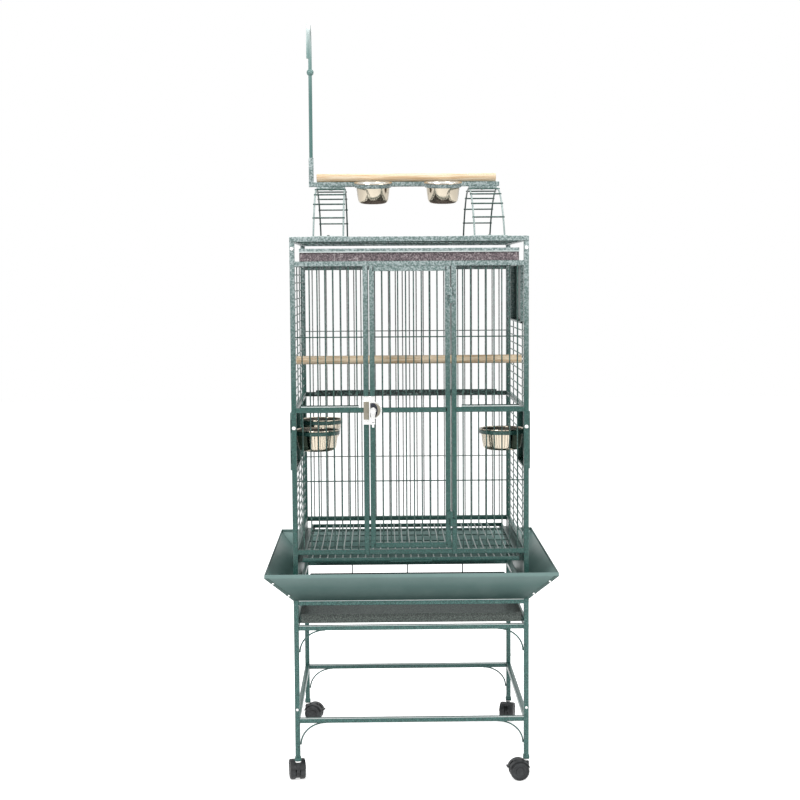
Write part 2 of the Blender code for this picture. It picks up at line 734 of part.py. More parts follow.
def feeder_fronts():
    """Give the front edge of the front and rear feeder openings."""
    return (SIDE_FRONT + STRIP, BACK - REAR_FEEDER_FROM_BACK)


def build_walls():
    """Make the four walls and the roof."""
    near, far = feeder_fronts()
    nest = (FRONT + NEST_FROM_FRONT, FRONT + NEST_FROM_FRONT + NEST_WIDTH)
    front_field("front_left_panel", -1)
    front_field("front_right_panel", 1)
    doorway_rail("doorway_head_rail", HEAD_RAIL_Z)
    doorway_rail("doorway_sill_rail", BASE_RAIL_Z)
    rear_panel()
    side_panel("left_side_panel", -1, [near, far], None)
    side_panel("right_side_panel", 1, [near], nest)
    roof_panel()


# Door and lock

def build_door():
    """Make the barred front door, hinged on its right edge."""
    rectangles = [
        (DOOR_LEFT, DOOR_BOTTOM, DOOR_LEFT + STILE, DOOR_TOP),
        (DOOR_RIGHT - STILE, DOOR_BOTTOM, DOOR_RIGHT, DOOR_TOP),
        (DOOR_LEFT, DOOR_BOTTOM, DOOR_RIGHT, DOOR_BOTTOM + TUBE),
        (DOOR_LEFT, DOOR_TOP - TUBE, DOOR_RIGHT, DOOR_TOP),
        (DOOR_LEFT, BELLY_BOTTOM, DOOR_RIGHT, BELLY_TOP),
    ]
    shape = stood(flat_frame(rectangles, TUBE), "XZ", FRONT)
    middle_y = FRONT + HALF_TUBE
    low, high = DOOR_LEFT + STILE, DOOR_RIGHT - STILE
    bars = [rod((x, middle_y, DOOR_BOTTOM + HALF_TUBE), (x, middle_y, DOOR_TOP - HALF_TUBE), BAR)
            for x in spread(low, high, DOOR_BARS)]
    wires = [rod((low - STILE / 2, middle_y + CROSS_OFFSET, z),
                 (high + STILE / 2, middle_y + CROSS_OFFSET, z), CROSS_WIRE)
             for z in ((BASE_TOP + BELLY_BOTTOM) / 2, (BELLY_TOP + HEAD_BOTTOM) / 2)]
    shape = joined(shape, merged(bars + wires))
    for bottom, top in hinge_levels():
        strap = block((DOOR_RIGHT - STILE * 0.8, HINGE_Y - KNUCKLE * 0.38, bottom + FIT * 2),
                      (HINGE_X - FIT, FRONT + OVERLAP, top - FIT * 2))
        knuckle = rod((HINGE_X, HINGE_Y, bottom), (HINGE_X, HINGE_Y, top), KNUCKLE, sides=12)
        bore = rod((HINGE_X, HINGE_Y, bottom - OVERLAP), (HINGE_X, HINGE_Y, top + OVERLAP),
                   HINGE_PIN + 2 * HINGE_BORE_GAP, sides=12)
        shape = joined(shape, cut(joined(strap, knuckle), bore))
    return place("front_door", shape, "hammertone", origin=(HINGE_X, HINGE_Y, BELLY_RAIL_Z))


def build_lock(door):
    """Make the lock plate on the door, its lever, and the keeper on the fixed stile."""
    plate_back = FRONT - FIT
    disc_front = plate_back - LOCK_DISC_THICK
    disc_middle = plate_back - LOCK_DISC_THICK / 2
    hub_x = DOOR_LEFT + LOCK_IN
    hub_z = BELLY_RAIL_Z
    keeper_half = KEEPER_HEIGHT / 2
    strap = block((DOOR_LEFT, plate_back - KEEPER_THICK, hub_z - keeper_half),
                  (DOOR_LEFT + STILE, plate_back, hub_z + keeper_half))
    disc = rod((hub_x, plate_back - FIT, hub_z), (hub_x, disc_front, hub_z), LOCK_DISC, sides=24)
    rim = [edge for edge in disc.edges if all(vert.co.y < disc_middle for vert in edge.verts)]
    bmesh.ops.bevel(disc, geom=rim, offset=LOCK_DISC_THICK * 0.3, segments=2, profile=0.5,
                    affect="EDGES", material=-1)
    past_edge = block((hub_x - LOCK_DISC, disc_front - OVERLAP, hub_z - LOCK_DISC),
                      (DOOR_LEFT + FIT, plate_back + OVERLAP, hub_z + LOCK_DISC))
    boss_front = disc_front - LOCK_BOSS_OUT
    boss = rod((hub_x, disc_middle, hub_z), (hub_x, boss_front, hub_z), LOCK_BOSS, sides=16)
    bore = rod((hub_x, disc_middle, hub_z), (hub_x, boss_front - OVERLAP, hub_z),
               LEVER_PIN + 2 * HINGE_BORE_GAP, sides=12)
    plate = joined(strap, cut(disc, past_edge), boss)
    place("door_lock_plate", cut(plate, bore), "plated", parent=door)

    lever_back = boss_front - FIT
    lever_front = lever_back - LEVER_THICK
    hub = rod((hub_x, lever_back, hub_z), (hub_x, lever_front, hub_z), LEVER_HUB, sides=16)
    arm = bmesh.new()
    tip = LEVER_LENGTH
    outline = [(-LEVER_HUB * 0.40, -FIT), (LEVER_HUB * 0.40, -FIT), (LEVER_TIP * 0.46, -tip - FIT),
               (-LEVER_TIP * 0.46, -tip - FIT)]
    face = arm.faces.new([arm.verts.new((hub_x + x, lever_back - FIT, hub_z + z))
                          for x, z in outline])
    grown = bmesh.ops.extrude_face_region(arm, geom=[face])
    shifted = [item for item in grown["geom"] if isinstance(item, bmesh.types.BMVert)]
    bmesh.ops.translate(arm, vec=(0.0, -LEVER_THICK * 0.8, 0.0), verts=shifted)
    bmesh.ops.recalc_face_normals(arm, faces=arm.faces)
    end = rod((hub_x, lever_back - FIT * 3, hub_z - tip), (hub_x, lever_front + FIT, hub_z - tip),
              LEVER_TIP, sides=12)
    pin = rod((hub_x, lever_back - OVERLAP, hub_z), (hub_x, disc_middle - FIT, hub_z), LEVER_PIN,
              sides=12)
    lever = joined(hub, arm, end, pin)
    place("door_lock_lever", lever, "plated", origin=(hub_x, lever_back, hub_z), parent=door)

    keeper = block((DOORWAY_LEFT - STILE, plate_back - KEEPER_THICK, hub_z - keeper_half),
                   (DOORWAY_LEFT + DOOR_GAP / 2, plate_back, hub_z + keeper_half))
    bmesh.ops.bevel(keeper, geom=keeper.edges[:], offset=KEEPER_THICK * 0.3, segments=1,
                    profile=0.5, affect="EDGES", material=-1)
    place("lock_keeper", keeper, "plated")


# Cups, rings and feeder doors

def cup_shape(rim_width, body_width, foot_width, depth):
    """Turn a stainless cup of the given diameters, whose rim lies at height zero."""
    rim, body, foot = rim_width / 2, body_width / 2, foot_width / 2
    wall = CUP_WALL
    knee = body - (body - foot) * 0.35
    knee_z = -depth * (1 - CUP_KNEE)
    return turned([
        (0.0, -depth), (foot, -depth), (knee, knee_z), (body, -CUP_RIM_LIP),
        (rim, -CUP_RIM_LIP), (rim, 0.0), (body - wall, 0.0), (knee - wall, knee_z + wall),
        (foot - wall, -depth + wall), (0.0, -depth + wall),
    ], CUP_SEGMENTS)


def ring_shape(body_width, reach):
    """Make the ring of a cup under height zero, with its arm out to REACH along -X."""
    inner = body_width / 2 + RING_GAP
    outer = inner + RING_WALL
    top = -CUP_RIM_LIP - FIT
    low = top - RING_HEIGHT
    hoop = turned([(inner, low), (outer, low), (outer, top), (inner, top)], CUP_SEGMENTS)
    arm = block((-reach, -RING_ARM_WIDTH / 2, low),
                (-(inner + RING_WALL / 2), RING_ARM_WIDTH / 2, low + RING_ARM_HEIGHT))
    return joined(hoop, arm)


def latch_shape():
    """Make a turn button on a short pin, flat in the YZ plane, pointing along +Y."""
    hub = rod((0, 0, 0), (LATCH_THICK * 2, 0, 0), LATCH_HUB, sides=12)
    tongue = block((0.0, 0.0, -LATCH_HUB * 0.3),
                   (LATCH_THICK, LATCH_LENGTH, LATCH_HUB * 0.3))
    pin = rod((-FEEDER_PLATE - FIT * 2, 0, 0), (LATCH_THICK, 0, 0), LATCH_PIN, sides=8)
    return joined(hub, tongue, pin)


def pan_shape(width, height, rib):
    """Make a door of bent sheet in the YZ plane, its face at x = FEEDER_FLANGE.

    It spans 0 to WIDTH along Y and 0 to HEIGHT along Z, open towards -X.
    """
    depth = FEEDER_FLANGE
    outer = block((0, 0, 0), (depth, width, height))
    face_edges = [edge for edge in outer.edges
                  if all(vert.co.x > depth / 2 for vert in edge.verts)]
    bmesh.ops.bevel(outer, geom=face_edges, offset=FEEDER_PLATE, segments=2, profile=0.5,
                    affect="EDGES", material=-1)
    hollow = block((-OVERLAP, FEEDER_PLATE, FEEDER_PLATE),
                   (depth - FEEDER_PLATE, width - FEEDER_PLATE, height - FEEDER_PLATE))
    shape = cut(outer, hollow)
    if rib > 0:
        strip = block((depth - FEEDER_PLATE * 2, width / 2 - rib / 2, FEEDER_PLATE / 2),
                      (depth - FEEDER_PLATE / 2, width / 2 + rib / 2, height - FEEDER_PLATE / 2))
        shape = joined(shape, strip)
    return shape


def mirrored(shape, side):
    """Flip a shape made for the right wall over to the left wall."""
    if side < 0:
        moved(shape, Matrix.Scale(-1, 4, (1, 0, 0)))
    return shape


def build_feeder(name, side, front_edge):
    """Make a feeder door with its ring, cup and latch, hinged on its front edge."""
    wall = RIGHT + FIT
    low_y = front_edge - FEEDER_LAP
    width = FEEDER_OPENING + 2 * FEEDER_LAP
    low_z = FEEDER_SILL_Z - STRIP / 2
    height = BELLY_BOTTOM - low_z
    axis = (wall + FEEDER_FLANGE / 2, low_y + FEEDER_HINGE / 2)
    cup_y = axis[1] + FEEDER_CUP_FROM_HINGE
    cup_x = wall - FEEDER_CUP_IN

    pan = moved(pan_shape(width, height, 0.0), Matrix.Translation((wall, low_y, low_z)))
    latch_y = low_y + width - LATCH_HUB
    latch_z = low_z + height / 2
    pin_hole = rod((wall, latch_y, latch_z), (wall + FEEDER_FLANGE + OVERLAP, latch_y, latch_z),
                   LATCH_PIN + 2 * HINGE_BORE_GAP, sides=12)
    pan = mirrored(cut(pan, pin_hole), side)
    door = place(name + "_door", pan, "green_sheet", origin=(side * axis[0], axis[1], latch_z))

    reach = FEEDER_CUP_IN + FEEDER_FLANGE - FEEDER_PLATE - FIT
    turn = Matrix.Translation((cup_x, cup_y, FEEDER_CUP_RIM_Z)) @ Matrix.Rotation(math.pi, 4, "Z")
    ring = mirrored(moved(ring_shape(FEEDER_CUP_BODY, reach), turn), side)
    place(name + "_ring", ring, "hammertone", parent=door)

    cup = cup_shape(FEEDER_CUP_RIM, FEEDER_CUP_BODY, FEEDER_CUP_FOOT, FEEDER_CUP_DEPTH)
    centre = (side * cup_x, cup_y, FEEDER_CUP_RIM_Z)
    place(name + "_cup", moved(cup, Matrix.Translation(centre)), "steel", origin=centre,
          parent=door)

    face = wall + FEEDER_FLANGE + FIT
    latch = mirrored(moved(latch_shape(), Matrix.Translation((face, latch_y, latch_z))), side)
    place(name + "_latch", latch, "plated", origin=(side * face, latch_y, latch_z), parent=door)


def build_nest_door():
    """Make the nest box door of the right wall, hinged along its top edge."""
    wall = RIGHT + FIT
    low_y = FRONT + NEST_FROM_FRONT - FEEDER_LAP
    width = NEST_WIDTH + 2 * FEEDER_LAP
    low_z = NEST_SILL_Z - STRIP / 2
    height = HEAD_RAIL_Z - low_z
    latch_y = low_y + width / 2 + NEST_RIB
    latch_z = low_z + LATCH_HUB
    hinge = (wall + FEEDER_FLANGE / 2, low_y + width / 2, low_z + height - FEEDER_HINGE / 2)
    pan = moved(pan_shape(width, height, NEST_RIB), Matrix.Translation((wall, low_y, low_z)))
    hole = rod((wall, latch_y, latch_z), (wall + FEEDER_FLANGE + OVERLAP, latch_y, latch_z),
               LATCH_PIN + 2 * HINGE_BORE_GAP, sides=12)
    door = place("nest_door", cut(pan, hole), "green_sheet", origin=hinge)
    face = wall + FEEDER_FLANGE + FIT
    latch = moved(latch_shape(), Matrix.Translation((face, latch_y, latch_z)))
    place("nest_door_latch", latch, "plated", origin=(face, latch_y, latch_z), parent=door)


# Perches

def build_perch():
    """Make the perch across the cage and the winged bolts that hold its ends."""
    y = FRONT + PERCH_FROM_FRONT
    end = RIGHT - HALF_TUBE - BAR / 2 - FIT
    shape = rod((-end, y, PERCH_Z), (end, y, PERCH_Z), PERCH, sides=16)
    rim = [edge for edge in shape.edges if abs(edge.verts[0].co.x - edge.verts[1].co.x) < FIT]
    bmesh.ops.bevel(shape, geom=rim, offset=PERCH * 0.08, segments=1, profile=0.5,
                    affect="EDGES", material=-1)
    bores = [rod((side * (end + OVERLAP), y, PERCH_Z),
                 (side * (end - PERCH_BOLT_DEPTH - FIT), y, PERCH_Z),
                 PERCH_BOLT + 2 * FIT, sides=8) for side in (-1, 1)]
    place("cage_perch", cut(shape, merged(bores)), "wood")
    washer_in = RIGHT - HALF_TUBE + CROSS_OFFSET + CROSS_WIRE / 2 + FIT
    washer_out = washer_in + PERCH_WASHER_THICK
    for side, name in ((-1, "perch_bolt_left"), (1, "perch_bolt_right")):
        washer = rod((side * washer_in, y, PERCH_Z), (side * washer_out, y, PERCH_Z),
                     PERCH_WASHER, sides=12)
        shank = rod((side * (end - PERCH_BOLT_DEPTH), y, PERCH_Z),
                    (side * (washer_in + FIT), y, PERCH_Z), PERCH_BOLT, sides=8)
        hub = rod((side * (washer_out - FIT), y, PERCH_Z),
                  (side * (washer_out + WING_HEIGHT / 2), y, PERCH_Z), WING_HEIGHT, sides=8)
        near, far = sorted((side * (washer_out + FIT), side * (washer_out + WING_HEIGHT)))
        wing = block((near, y - WING_LENGTH / 2, PERCH_Z - WING_THICK / 2),
                     (far, y + WING_LENGTH / 2, PERCH_Z + WING_THICK / 2))
        place(name, joined(washer, shank, hub, wing), "plated")


# Grate and trays

def build_grate():
    """Make the pull-out floor grate, its wires lying in its edge bars."""
    half = GRATE_WIDTH / 2
    back = BACK - TUBE - TRAY_BACK_GAP
    thick = GRATE_BAR_THICK
    rectangles = [
        (-half, FRONT, half, FRONT + thick),
        (-half, back - thick, half, back),
        (-half, FRONT, -half + thick, back),
        (half - thick, FRONT, half, back),
    ]
    shape = stood(flat_frame(rectangles, GRATE_BAR_HEIGHT), "XY", GRATE_BOTTOM)
    z = GRATE_TOP - BAR * 0.15
    bars = [rod((x, FRONT + thick * 0.3, z), (x, back - thick * 0.3, z), BAR)
            for x in spread(-half + thick, half - thick, GRATE_WIRES)]
    wires = [rod((-half + thick / 2, y, z - CROSS_OFFSET), (half - thick / 2, y, z - CROSS_OFFSET),
                 CROSS_WIRE) for y in spread(FRONT + thick, back - thick, GRATE_CROSS_WIRE_COUNT)]
    grip = block((-GRATE_HANDLE_WIDTH / 2, FRONT - GRATE_HANDLE_OUT, GRATE_BOTTOM + FIT),
                 (GRATE_HANDLE_WIDTH / 2, FRONT + thick / 2,
                  GRATE_BOTTOM + FIT + GRATE_HANDLE_THICK))
    shape = joined(shape, merged(bars + wires), grip)
    return place("floor_grate", shape, "hammertone", origin=(0.0, FRONT, GRATE_BOTTOM))


def pan_tray(name, width, low_z, height, front_y, back_y):
    """Make a sheet tray with a rolled lip along its front."""
    half = width / 2
    wall = TRAY_WALL
    shell = block((-half, front_y, low_z), (half, back_y, low_z + height))
    uprights = [edge for edge in shell.edges
                if abs(edge.verts[0].co.z - edge.verts[1].co.z) > height / 2]
    bmesh.ops.bevel(shell, geom=uprights, offset=wall * 3, segments=2, profile=0.5,
                    affect="EDGES", material=-1)
    hollow = block((-half + wall, front_y + wall, low_z + wall),
                   (half - wall, back_y - wall, low_z + height + OVERLAP))
    lip = block((-half, front_y - TRAY_LIP, low_z + height - wall * 2),
                (half, front_y + wall / 2, low_z + height))
    roll = [edge for edge in lip.edges if all(vert.co.y < front_y - wall for vert in edge.verts)
            and abs(edge.verts[0].co.x - edge.verts[1].co.x) > half]
    bmesh.ops.bevel(lip, geom=roll, offset=wall * 0.6, segments=2, profile=0.5, affect="EDGES",
                    material=-1)
    shape = joined(cut(shell, hollow), lip)
    return place(name, shape, "green_sheet", origin=(0.0, front_y, low_z))


def build_trays():
    """Make the dropping tray under the grate and the tray under the play top."""
    bottom = TRAY_RAIL_Z + HALF_TUBE + BOTTOM_TRAY_LIFT
    pan_tray("bottom_tray", BOTTOM_TRAY_WIDTH, bottom, BOTTOM_TRAY_HEIGHT, FRONT,
             BACK - TUBE - TRAY_BACK_GAP)
    pan_tray("top_tray", TOP_TRAY_WIDTH, HEAD_TOP + FIT, TOP_TRAY_HEIGHT, FRONT,
             BACK - TUBE - TRAY_BACK_GAP)


# Seed guards

def guard(name, length, reach, turn):
    """Make one flared guard for a side of the cage that is LENGTH long.

    It is built for the front, at REACH from the middle, and turned about Z by TURN.
    """
    half = length / 2
    low = STAND_TOP + FIT
    sheet = GUARD_SHEET
    outline = [
        (-reach + GUARD_TAB, low), (-reach - FIT, low), (-reach - GUARD_OUT, low + GUARD_RISE),
        (-reach - GUARD_OUT, low + GUARD_RISE + GUARD_LIP),
        (-reach - GUARD_OUT + sheet, low + GUARD_RISE + GUARD_LIP),
        (-reach - GUARD_OUT + sheet, low + GUARD_RISE + sheet * 0.4),
        (-reach - FIT + sheet * 0.4, low + sheet), (-reach + GUARD_TAB, low + sheet),
    ]
    wide = half + GUARD_OUT * 2
    shape = bmesh.new()
    face = shape.faces.new([shape.verts.new((-wide, y, z)) for y, z in outline])
    grown = bmesh.ops.extrude_face_region(shape, geom=[face])
    shifted = [item for item in grown["geom"] if isinstance(item, bmesh.types.BMVert)]
    bmesh.ops.translate(shape, vec=(2 * wide, 0.0, 0.0), verts=shifted)
    bmesh.ops.recalc_face_normals(shape, faces=shape.faces)
    for side in (-1, 1):
        section = bmesh.ops.bisect_plane(
            shape, geom=shape.verts[:] + shape.edges[:] + shape.faces[:],
            plane_co=(side * (half - FIT), -reach, 0.0), plane_no=(side, 1.0, 0.0),
            clear_outer=True)
        rim = [item for item in section["geom_cut"] if isinstance(item, bmesh.types.BMEdge)]
        bmesh.ops.holes_fill(shape, edges=rim, sides=0)
    tab_edge = half - TUBE - FIT
    for side in (-1, 1):
        near, far = sorted((side * tab_edge, side * wide))
        shape = cut(shape, block((near, -reach - FIT / 2, low - OVERLAP),
                                 (far, -reach + GUARD_TAB + OVERLAP, low + GUARD_RISE)))
    moved(shape, Matrix.Rotation(turn, 4, "Z"))
    return place(name, shape, "green_sheet")


def build_guards():
    """Make the four seed guards round the foot of the cage."""
    guard("front_guard", CAGE_WIDTH, CAGE_DEPTH / 2, 0.0)
    guard("rear_guard", CAGE_WIDTH, CAGE_DEPTH / 2, math.pi)
    guard("left_guard", CAGE_DEPTH, CAGE_WIDTH / 2, -math.pi / 2)
    guard("right_guard", CAGE_DEPTH, CAGE_WIDTH / 2, math.pi / 2)


# Casters

def build_caster(name, leg_x, leg_y, heading):
    """Make a twin wheel caster that trails towards HEADING, and its wheel pair."""
    place_here = Matrix.Translation((leg_x, leg_y, 0.0)) @ Matrix.Rotation(heading, 4, "Z")
    radius = WHEEL / 2
    hub_half = HUB_PLATE / 2
    wheel_out = hub_half + HUB_GAP + WHEEL_WIDTH
    centre = Vector((CASTER_TRAIL, 0.0, radius))
    axis = Vector((0.0, 1.0, 0.0))
    plate = rod(centre - axis * hub_half, centre + axis * hub_half, WHEEL - 0.006, sides=16)
    neck = block((-COLLAR / 2, -hub_half, radius), (CASTER_TRAIL, hub_half, LEG_BOTTOM - 0.006))
    collar = rod((0, 0, radius), (0, 0, LEG_BOTTOM - FIT), COLLAR, sides=12)
    trim = block((-COLLAR, -COLLAR, 0), (COLLAR, COLLAR, WHEEL + HOOD_GAP - 0.003))
    collar = cut(collar, trim)
    stem = rod((0, 0, LEG_BOTTOM - COLLAR_HEIGHT), (0, 0, LEG_BOTTOM + STEM_DEPTH - FIT),
               CASTER_STEM, sides=8)
    hood_outer = radius + HOOD_GAP + HOOD_THICK
    hood = rod(centre - axis * wheel_out, centre + axis * wheel_out, hood_outer * 2, sides=20)
    hood_hole = rod(centre - axis * (wheel_out + OVERLAP), centre + axis * (wheel_out + OVERLAP),
                    (radius + HOOD_GAP) * 2, sides=20)
    lower = block((-1, -1, -1), (1, 1, WHEEL * 0.66))
    hood = cut(hood, hood_hole, lower)
    web = block((CASTER_TRAIL - 0.006, -hub_half, radius), (CASTER_TRAIL + 0.006, hub_half,
                                                            WHEEL + HOOD_GAP + HOOD_THICK / 2))
    body = joined(plate, neck, hood, web, collar, stem)
    bore = rod(centre - axis * WHEEL, centre + axis * WHEEL, AXLE + 2 * HINGE_BORE_GAP, sides=12)
    body = moved(cut(body, bore), place_here)
    housing = place(name + "_housing", body, "rubber", origin=(leg_x, leg_y, 0.0))

    tread = radius / math.cos(math.pi / WHEEL_SEGMENTS)
    rims = []
    for side in (-1, 1):
        inner = centre + axis * side * (hub_half + HUB_GAP)
        profile = [(0.0, 0.0), (tread, 0.0), (tread, WHEEL_WIDTH - WHEEL_ROUND),
                   (tread - WHEEL_ROUND, WHEEL_WIDTH), (0.0, WHEEL_WIDTH)]
        wheel = turned(profile, WHEEL_SEGMENTS)
        flat_down = Matrix.Rotation(math.pi / WHEEL_SEGMENTS, 4, "Z")
        turn = Matrix.Rotation(-side * math.pi / 2, 4, "X") @ flat_down
        rims.append(moved(wheel, Matrix.Translation(inner) @ turn))
    axle = rod(centre - axis * (hub_half + HUB_GAP + 0.004),
               centre + axis * (hub_half + HUB_GAP + 0.004), AXLE, sides=12)
    wheels = moved(joined(merged(rims), axle), place_here)
    place(name + "_wheels", wheels, "rubber", origin=place_here @ centre, parent=housing)


def build_casters():
    """Make four casters, each turned the way it stands in use."""
    x = RIGHT - HALF_TUBE
    y = BACK - HALF_TUBE
    build_caster("caster_front_left", -x, -y, math.radians(100.0))
    build_caster("caster_front_right", x, -y, math.radians(186.0))
    build_caster("caster_rear_left", -x, y, math.radians(-12.0))
    build_caster("caster_rear_right", x, y, math.radians(-105.0))


# Play stand on the roof

def arch_point(step, count):
    """Give (y, z) of a point along the arch, from the front foot to the rear one."""
    rise = ARCH_TOP_Z - ARCH_FOOT_Z
    radius = (ARCH_HALF_SPAN ** 2 + rise ** 2) / (2 * rise)
    half_angle = math.asin(ARCH_HALF_SPAN / radius)
    angle = -half_angle + 2 * half_angle * step / count
    return radius * math.sin(angle), ARCH_TOP_Z - radius + radius * math.cos(angle)


def build_arch(name, centre_x):
    """Make one ladder arch: two bent rails, rungs, two feet and a top plate."""
    half = ARCH_GAUGE / 2
    rails = []
    for side in (-1, 1):
        points = [(centre_x + side * half,) + arch_point(step, ARCH_STEPS)
                  for step in range(ARCH_STEPS + 1)]
        rails.append(swept(points, ARCH_RAIL))
    shape = merged(rails)
    rungs = []
    for index in range(1, ARCH_INTERVALS):
        if index == ARCH_INTERVALS // 2:
            continue
        y, z = arch_point(index, ARCH_INTERVALS)
        rungs.append(rod((centre_x - half, y, z), (centre_x + half, y, z), ARCH_RUNG))
    shape = joined(shape, merged(rungs))
    feet = []
    for y in (-ARCH_HALF_SPAN, ARCH_HALF_SPAN):
        feet.append(block((centre_x - FOOT_LENGTH / 2, y - FOOT_WIDTH / 2, ROOF_TOP + FIT),
                          (centre_x + FOOT_LENGTH / 2, y + FOOT_WIDTH / 2,
                           ROOF_TOP + FIT + FOOT_THICK)))
    shape = joined(shape, merged(feet))
    plate = block((centre_x - half, -TOP_PLATE_WIDTH / 2, ARCH_TOP_Z),
                  (centre_x + half, TOP_PLATE_WIDTH / 2,
                   ARCH_TOP_Z + ARCH_RAIL / 2 + TOP_PLATE_THICK))
    return place(name, joined(shape, plate), "hammertone")


def build_play_stand():
    """Make the arches, the bar with its sleeve, the perch, the hook, and the two cups."""
    build_arch("left_arch", -ARCH_CENTRE_X)
    build_arch("right_arch", ARCH_CENTRE_X)
    bottom, top = PLAY_BAR_BOTTOM, PLAY_BAR_BOTTOM + TUBE
    bar = flat_frame([
        (PLAY_BAR_LEFT, bottom, PLAY_BAR_RIGHT, top),
        (PLAY_BAR_LEFT, bottom, PLAY_BAR_LEFT + TUBE, SLEEVE_TOP_Z),
    ], TUBE)
    bar = stood(bar, "XZ", -HALF_TUBE)
    pole_x = PLAY_BAR_LEFT + HALF_TUBE
    half_bore = POLE / 2 + POLE_GAP
    bore = block((pole_x - half_bore, -half_bore, top),
                 (pole_x + half_bore, half_bore, SLEEVE_TOP_Z + OVERLAP))
    place("play_bar", cut(bar, bore), "hammertone")

    perch_z = top + FIT + PERCH / 2
    perch = rod((PLAY_BAR_LEFT + PLAY_PERCH_INSET_LEFT, 0, perch_z),
                (PLAY_BAR_RIGHT - PLAY_PERCH_INSET_RIGHT, 0, perch_z), PERCH, sides=16)
    rim = [edge for edge in perch.edges if abs(edge.verts[0].co.x - edge.verts[1].co.x) < FIT]
    bmesh.ops.bevel(perch, geom=rim, offset=PERCH * 0.08, segments=1, profile=0.5,
                    affect="EDGES", material=-1)
    place("play_perch", perch, "wood")
    build_toy_hook(pole_x, top + FIT)
    for name, x in (("play_left", PLAY_CUP_LEFT_X), ("play_right", PLAY_CUP_RIGHT_X)):
        build_play_cup(name, x, (bottom + top) / 2)


def build_toy_hook(pole_x, foot_z):
    """Make the square pole that stands in the sleeve and bends over into a hook."""
    bend_z = HOOK_TOP_Z - POLE / 2 - HOOK_RADIUS
    path = [(0.0, foot_z), (0.0, bend_z)]
    for step in range(1, HOOK_STEPS + 1):
        angle = math.pi * step / HOOK_STEPS
        path.append((-HOOK_RADIUS * (1 - math.cos(angle)), bend_z + HOOK_RADIUS * math.sin(angle)))
    path.append((-2 * HOOK_RADIUS, bend_z - HOOK_TAIL))
    shape = bmesh.new()
    side = Vector((POLE / 2, 0.0, 0.0))
    loops = []
    for index, (y, z) in enumerate(path):
        before = path[max(index - 1, 0)]
        after = path[min(index + 1, len(path) - 1)]
        run = Vector((0.0, after[0] - before[0], after[1] - before[1])).normalized()
        out = Vector((0.0, run.z, -run.y)) * POLE / 2
        spot = Vector((pole_x, y, z))
        corners = (spot - side + out, spot + side + out, spot + side - out, spot - side - out)
        loops.append([shape.verts.new(corner) for corner in corners])
    for first, second in zip(loops, loops[1:]):
        for index in range(4):
            following = (index + 1) % 4
            shape.faces.new((first[index], first[following], second[following], second[index]))
    shape.faces.new(loops[0])
    shape.faces.new(loops[-1])
    bmesh.ops.recalc_face_normals(shape, faces=shape.faces)
    ball = bmesh.new()
    bmesh.ops.create_uvsphere(ball, u_segments=10, v_segments=6, radius=HOOK_BALL / 2)
    moved(ball, Matrix.Translation((pole_x, 0.0, bend_z - HOOK_BALL_UNDER_BEND)))
    place("toy_hook", joined(shape, ball), "hammertone", origin=(pole_x, 0.0, foot_z))


def build_play_cup(name, x, bar_z):
    """Make a ring and a cup in front of the play bar, tipped a little forward."""
    inner = PLAY_CUP_BODY / 2 + RING_GAP + RING_WALL
    out = HALF_TUBE + PLAY_CUP_OUT + inner
    tilt = Matrix.Rotation(PLAY_CUP_TILT, 4, "X")
    spot = Matrix.Translation((x, -out, bar_z + CUP_RIM_LIP / 2)) @ tilt
    face_bar = Matrix.Rotation(-math.pi / 2, 4, "Z")
    ring = moved(ring_shape(PLAY_CUP_BODY, out + HALF_TUBE), spot @ face_bar)
    behind = block((x - RING_ARM_WIDTH, -HALF_TUBE - FIT, bar_z - RING_ARM_WIDTH),
                   (x + RING_ARM_WIDTH, TUBE * 2, bar_z + RING_ARM_WIDTH))
    place(name + "_ring", cut(ring, behind), "hammertone")
    cup = cup_shape(PLAY_CUP_RIM, PLAY_CUP_BODY, PLAY_CUP_FOOT, PLAY_CUP_DEPTH)
    place(name + "_cup", moved(cup, spot), "steel", origin=spot.translation)


def main():
    """Clear the scene and build every piece."""
    for thing in list(bpy.data.objects):
        bpy.data.objects.remove(thing)
    build_stand()
    build_walls()
    build_door()
    door = bpy.data.objects["front_door"]
    build_lock(door)
    near, far = feeder_fronts()
    build_feeder("left_front_feeder", -1, near)
    build_feeder("left_rear_feeder", -1, far)
    build_feeder("right_front_feeder", 1, near)
    build_nest_door()
    build_perch()
    build_grate()
    build_trays()
    build_guards()
    build_casters()
    build_play_stand()


main()
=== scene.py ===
"""Dresses a play top parrot cage in hammertone powder coat, stainless steel, beech and nylon.

Every size is in metres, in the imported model's own frame: the cage's door faces -Y, and the
origin is on the floor under the middle of the cage.
"""

import logging
import math
from dataclasses import dataclass
from enum import Enum

import bmesh
import bpy
from mathutils import Matrix, Vector


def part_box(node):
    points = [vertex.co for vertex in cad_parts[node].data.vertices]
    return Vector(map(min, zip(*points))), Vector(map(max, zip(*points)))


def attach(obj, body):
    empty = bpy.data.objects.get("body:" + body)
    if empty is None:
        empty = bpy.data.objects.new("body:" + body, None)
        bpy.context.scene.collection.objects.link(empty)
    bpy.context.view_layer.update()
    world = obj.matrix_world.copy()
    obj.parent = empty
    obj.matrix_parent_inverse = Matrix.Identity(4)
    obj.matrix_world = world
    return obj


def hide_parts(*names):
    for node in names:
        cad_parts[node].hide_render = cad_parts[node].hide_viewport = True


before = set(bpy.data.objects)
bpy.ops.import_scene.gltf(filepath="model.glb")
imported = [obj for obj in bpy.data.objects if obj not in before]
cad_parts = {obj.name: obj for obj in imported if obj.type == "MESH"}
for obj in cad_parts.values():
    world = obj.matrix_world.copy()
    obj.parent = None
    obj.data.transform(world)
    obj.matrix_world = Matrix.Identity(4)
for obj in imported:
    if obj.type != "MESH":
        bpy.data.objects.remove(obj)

LOG = logging.getLogger("parrot_cage")
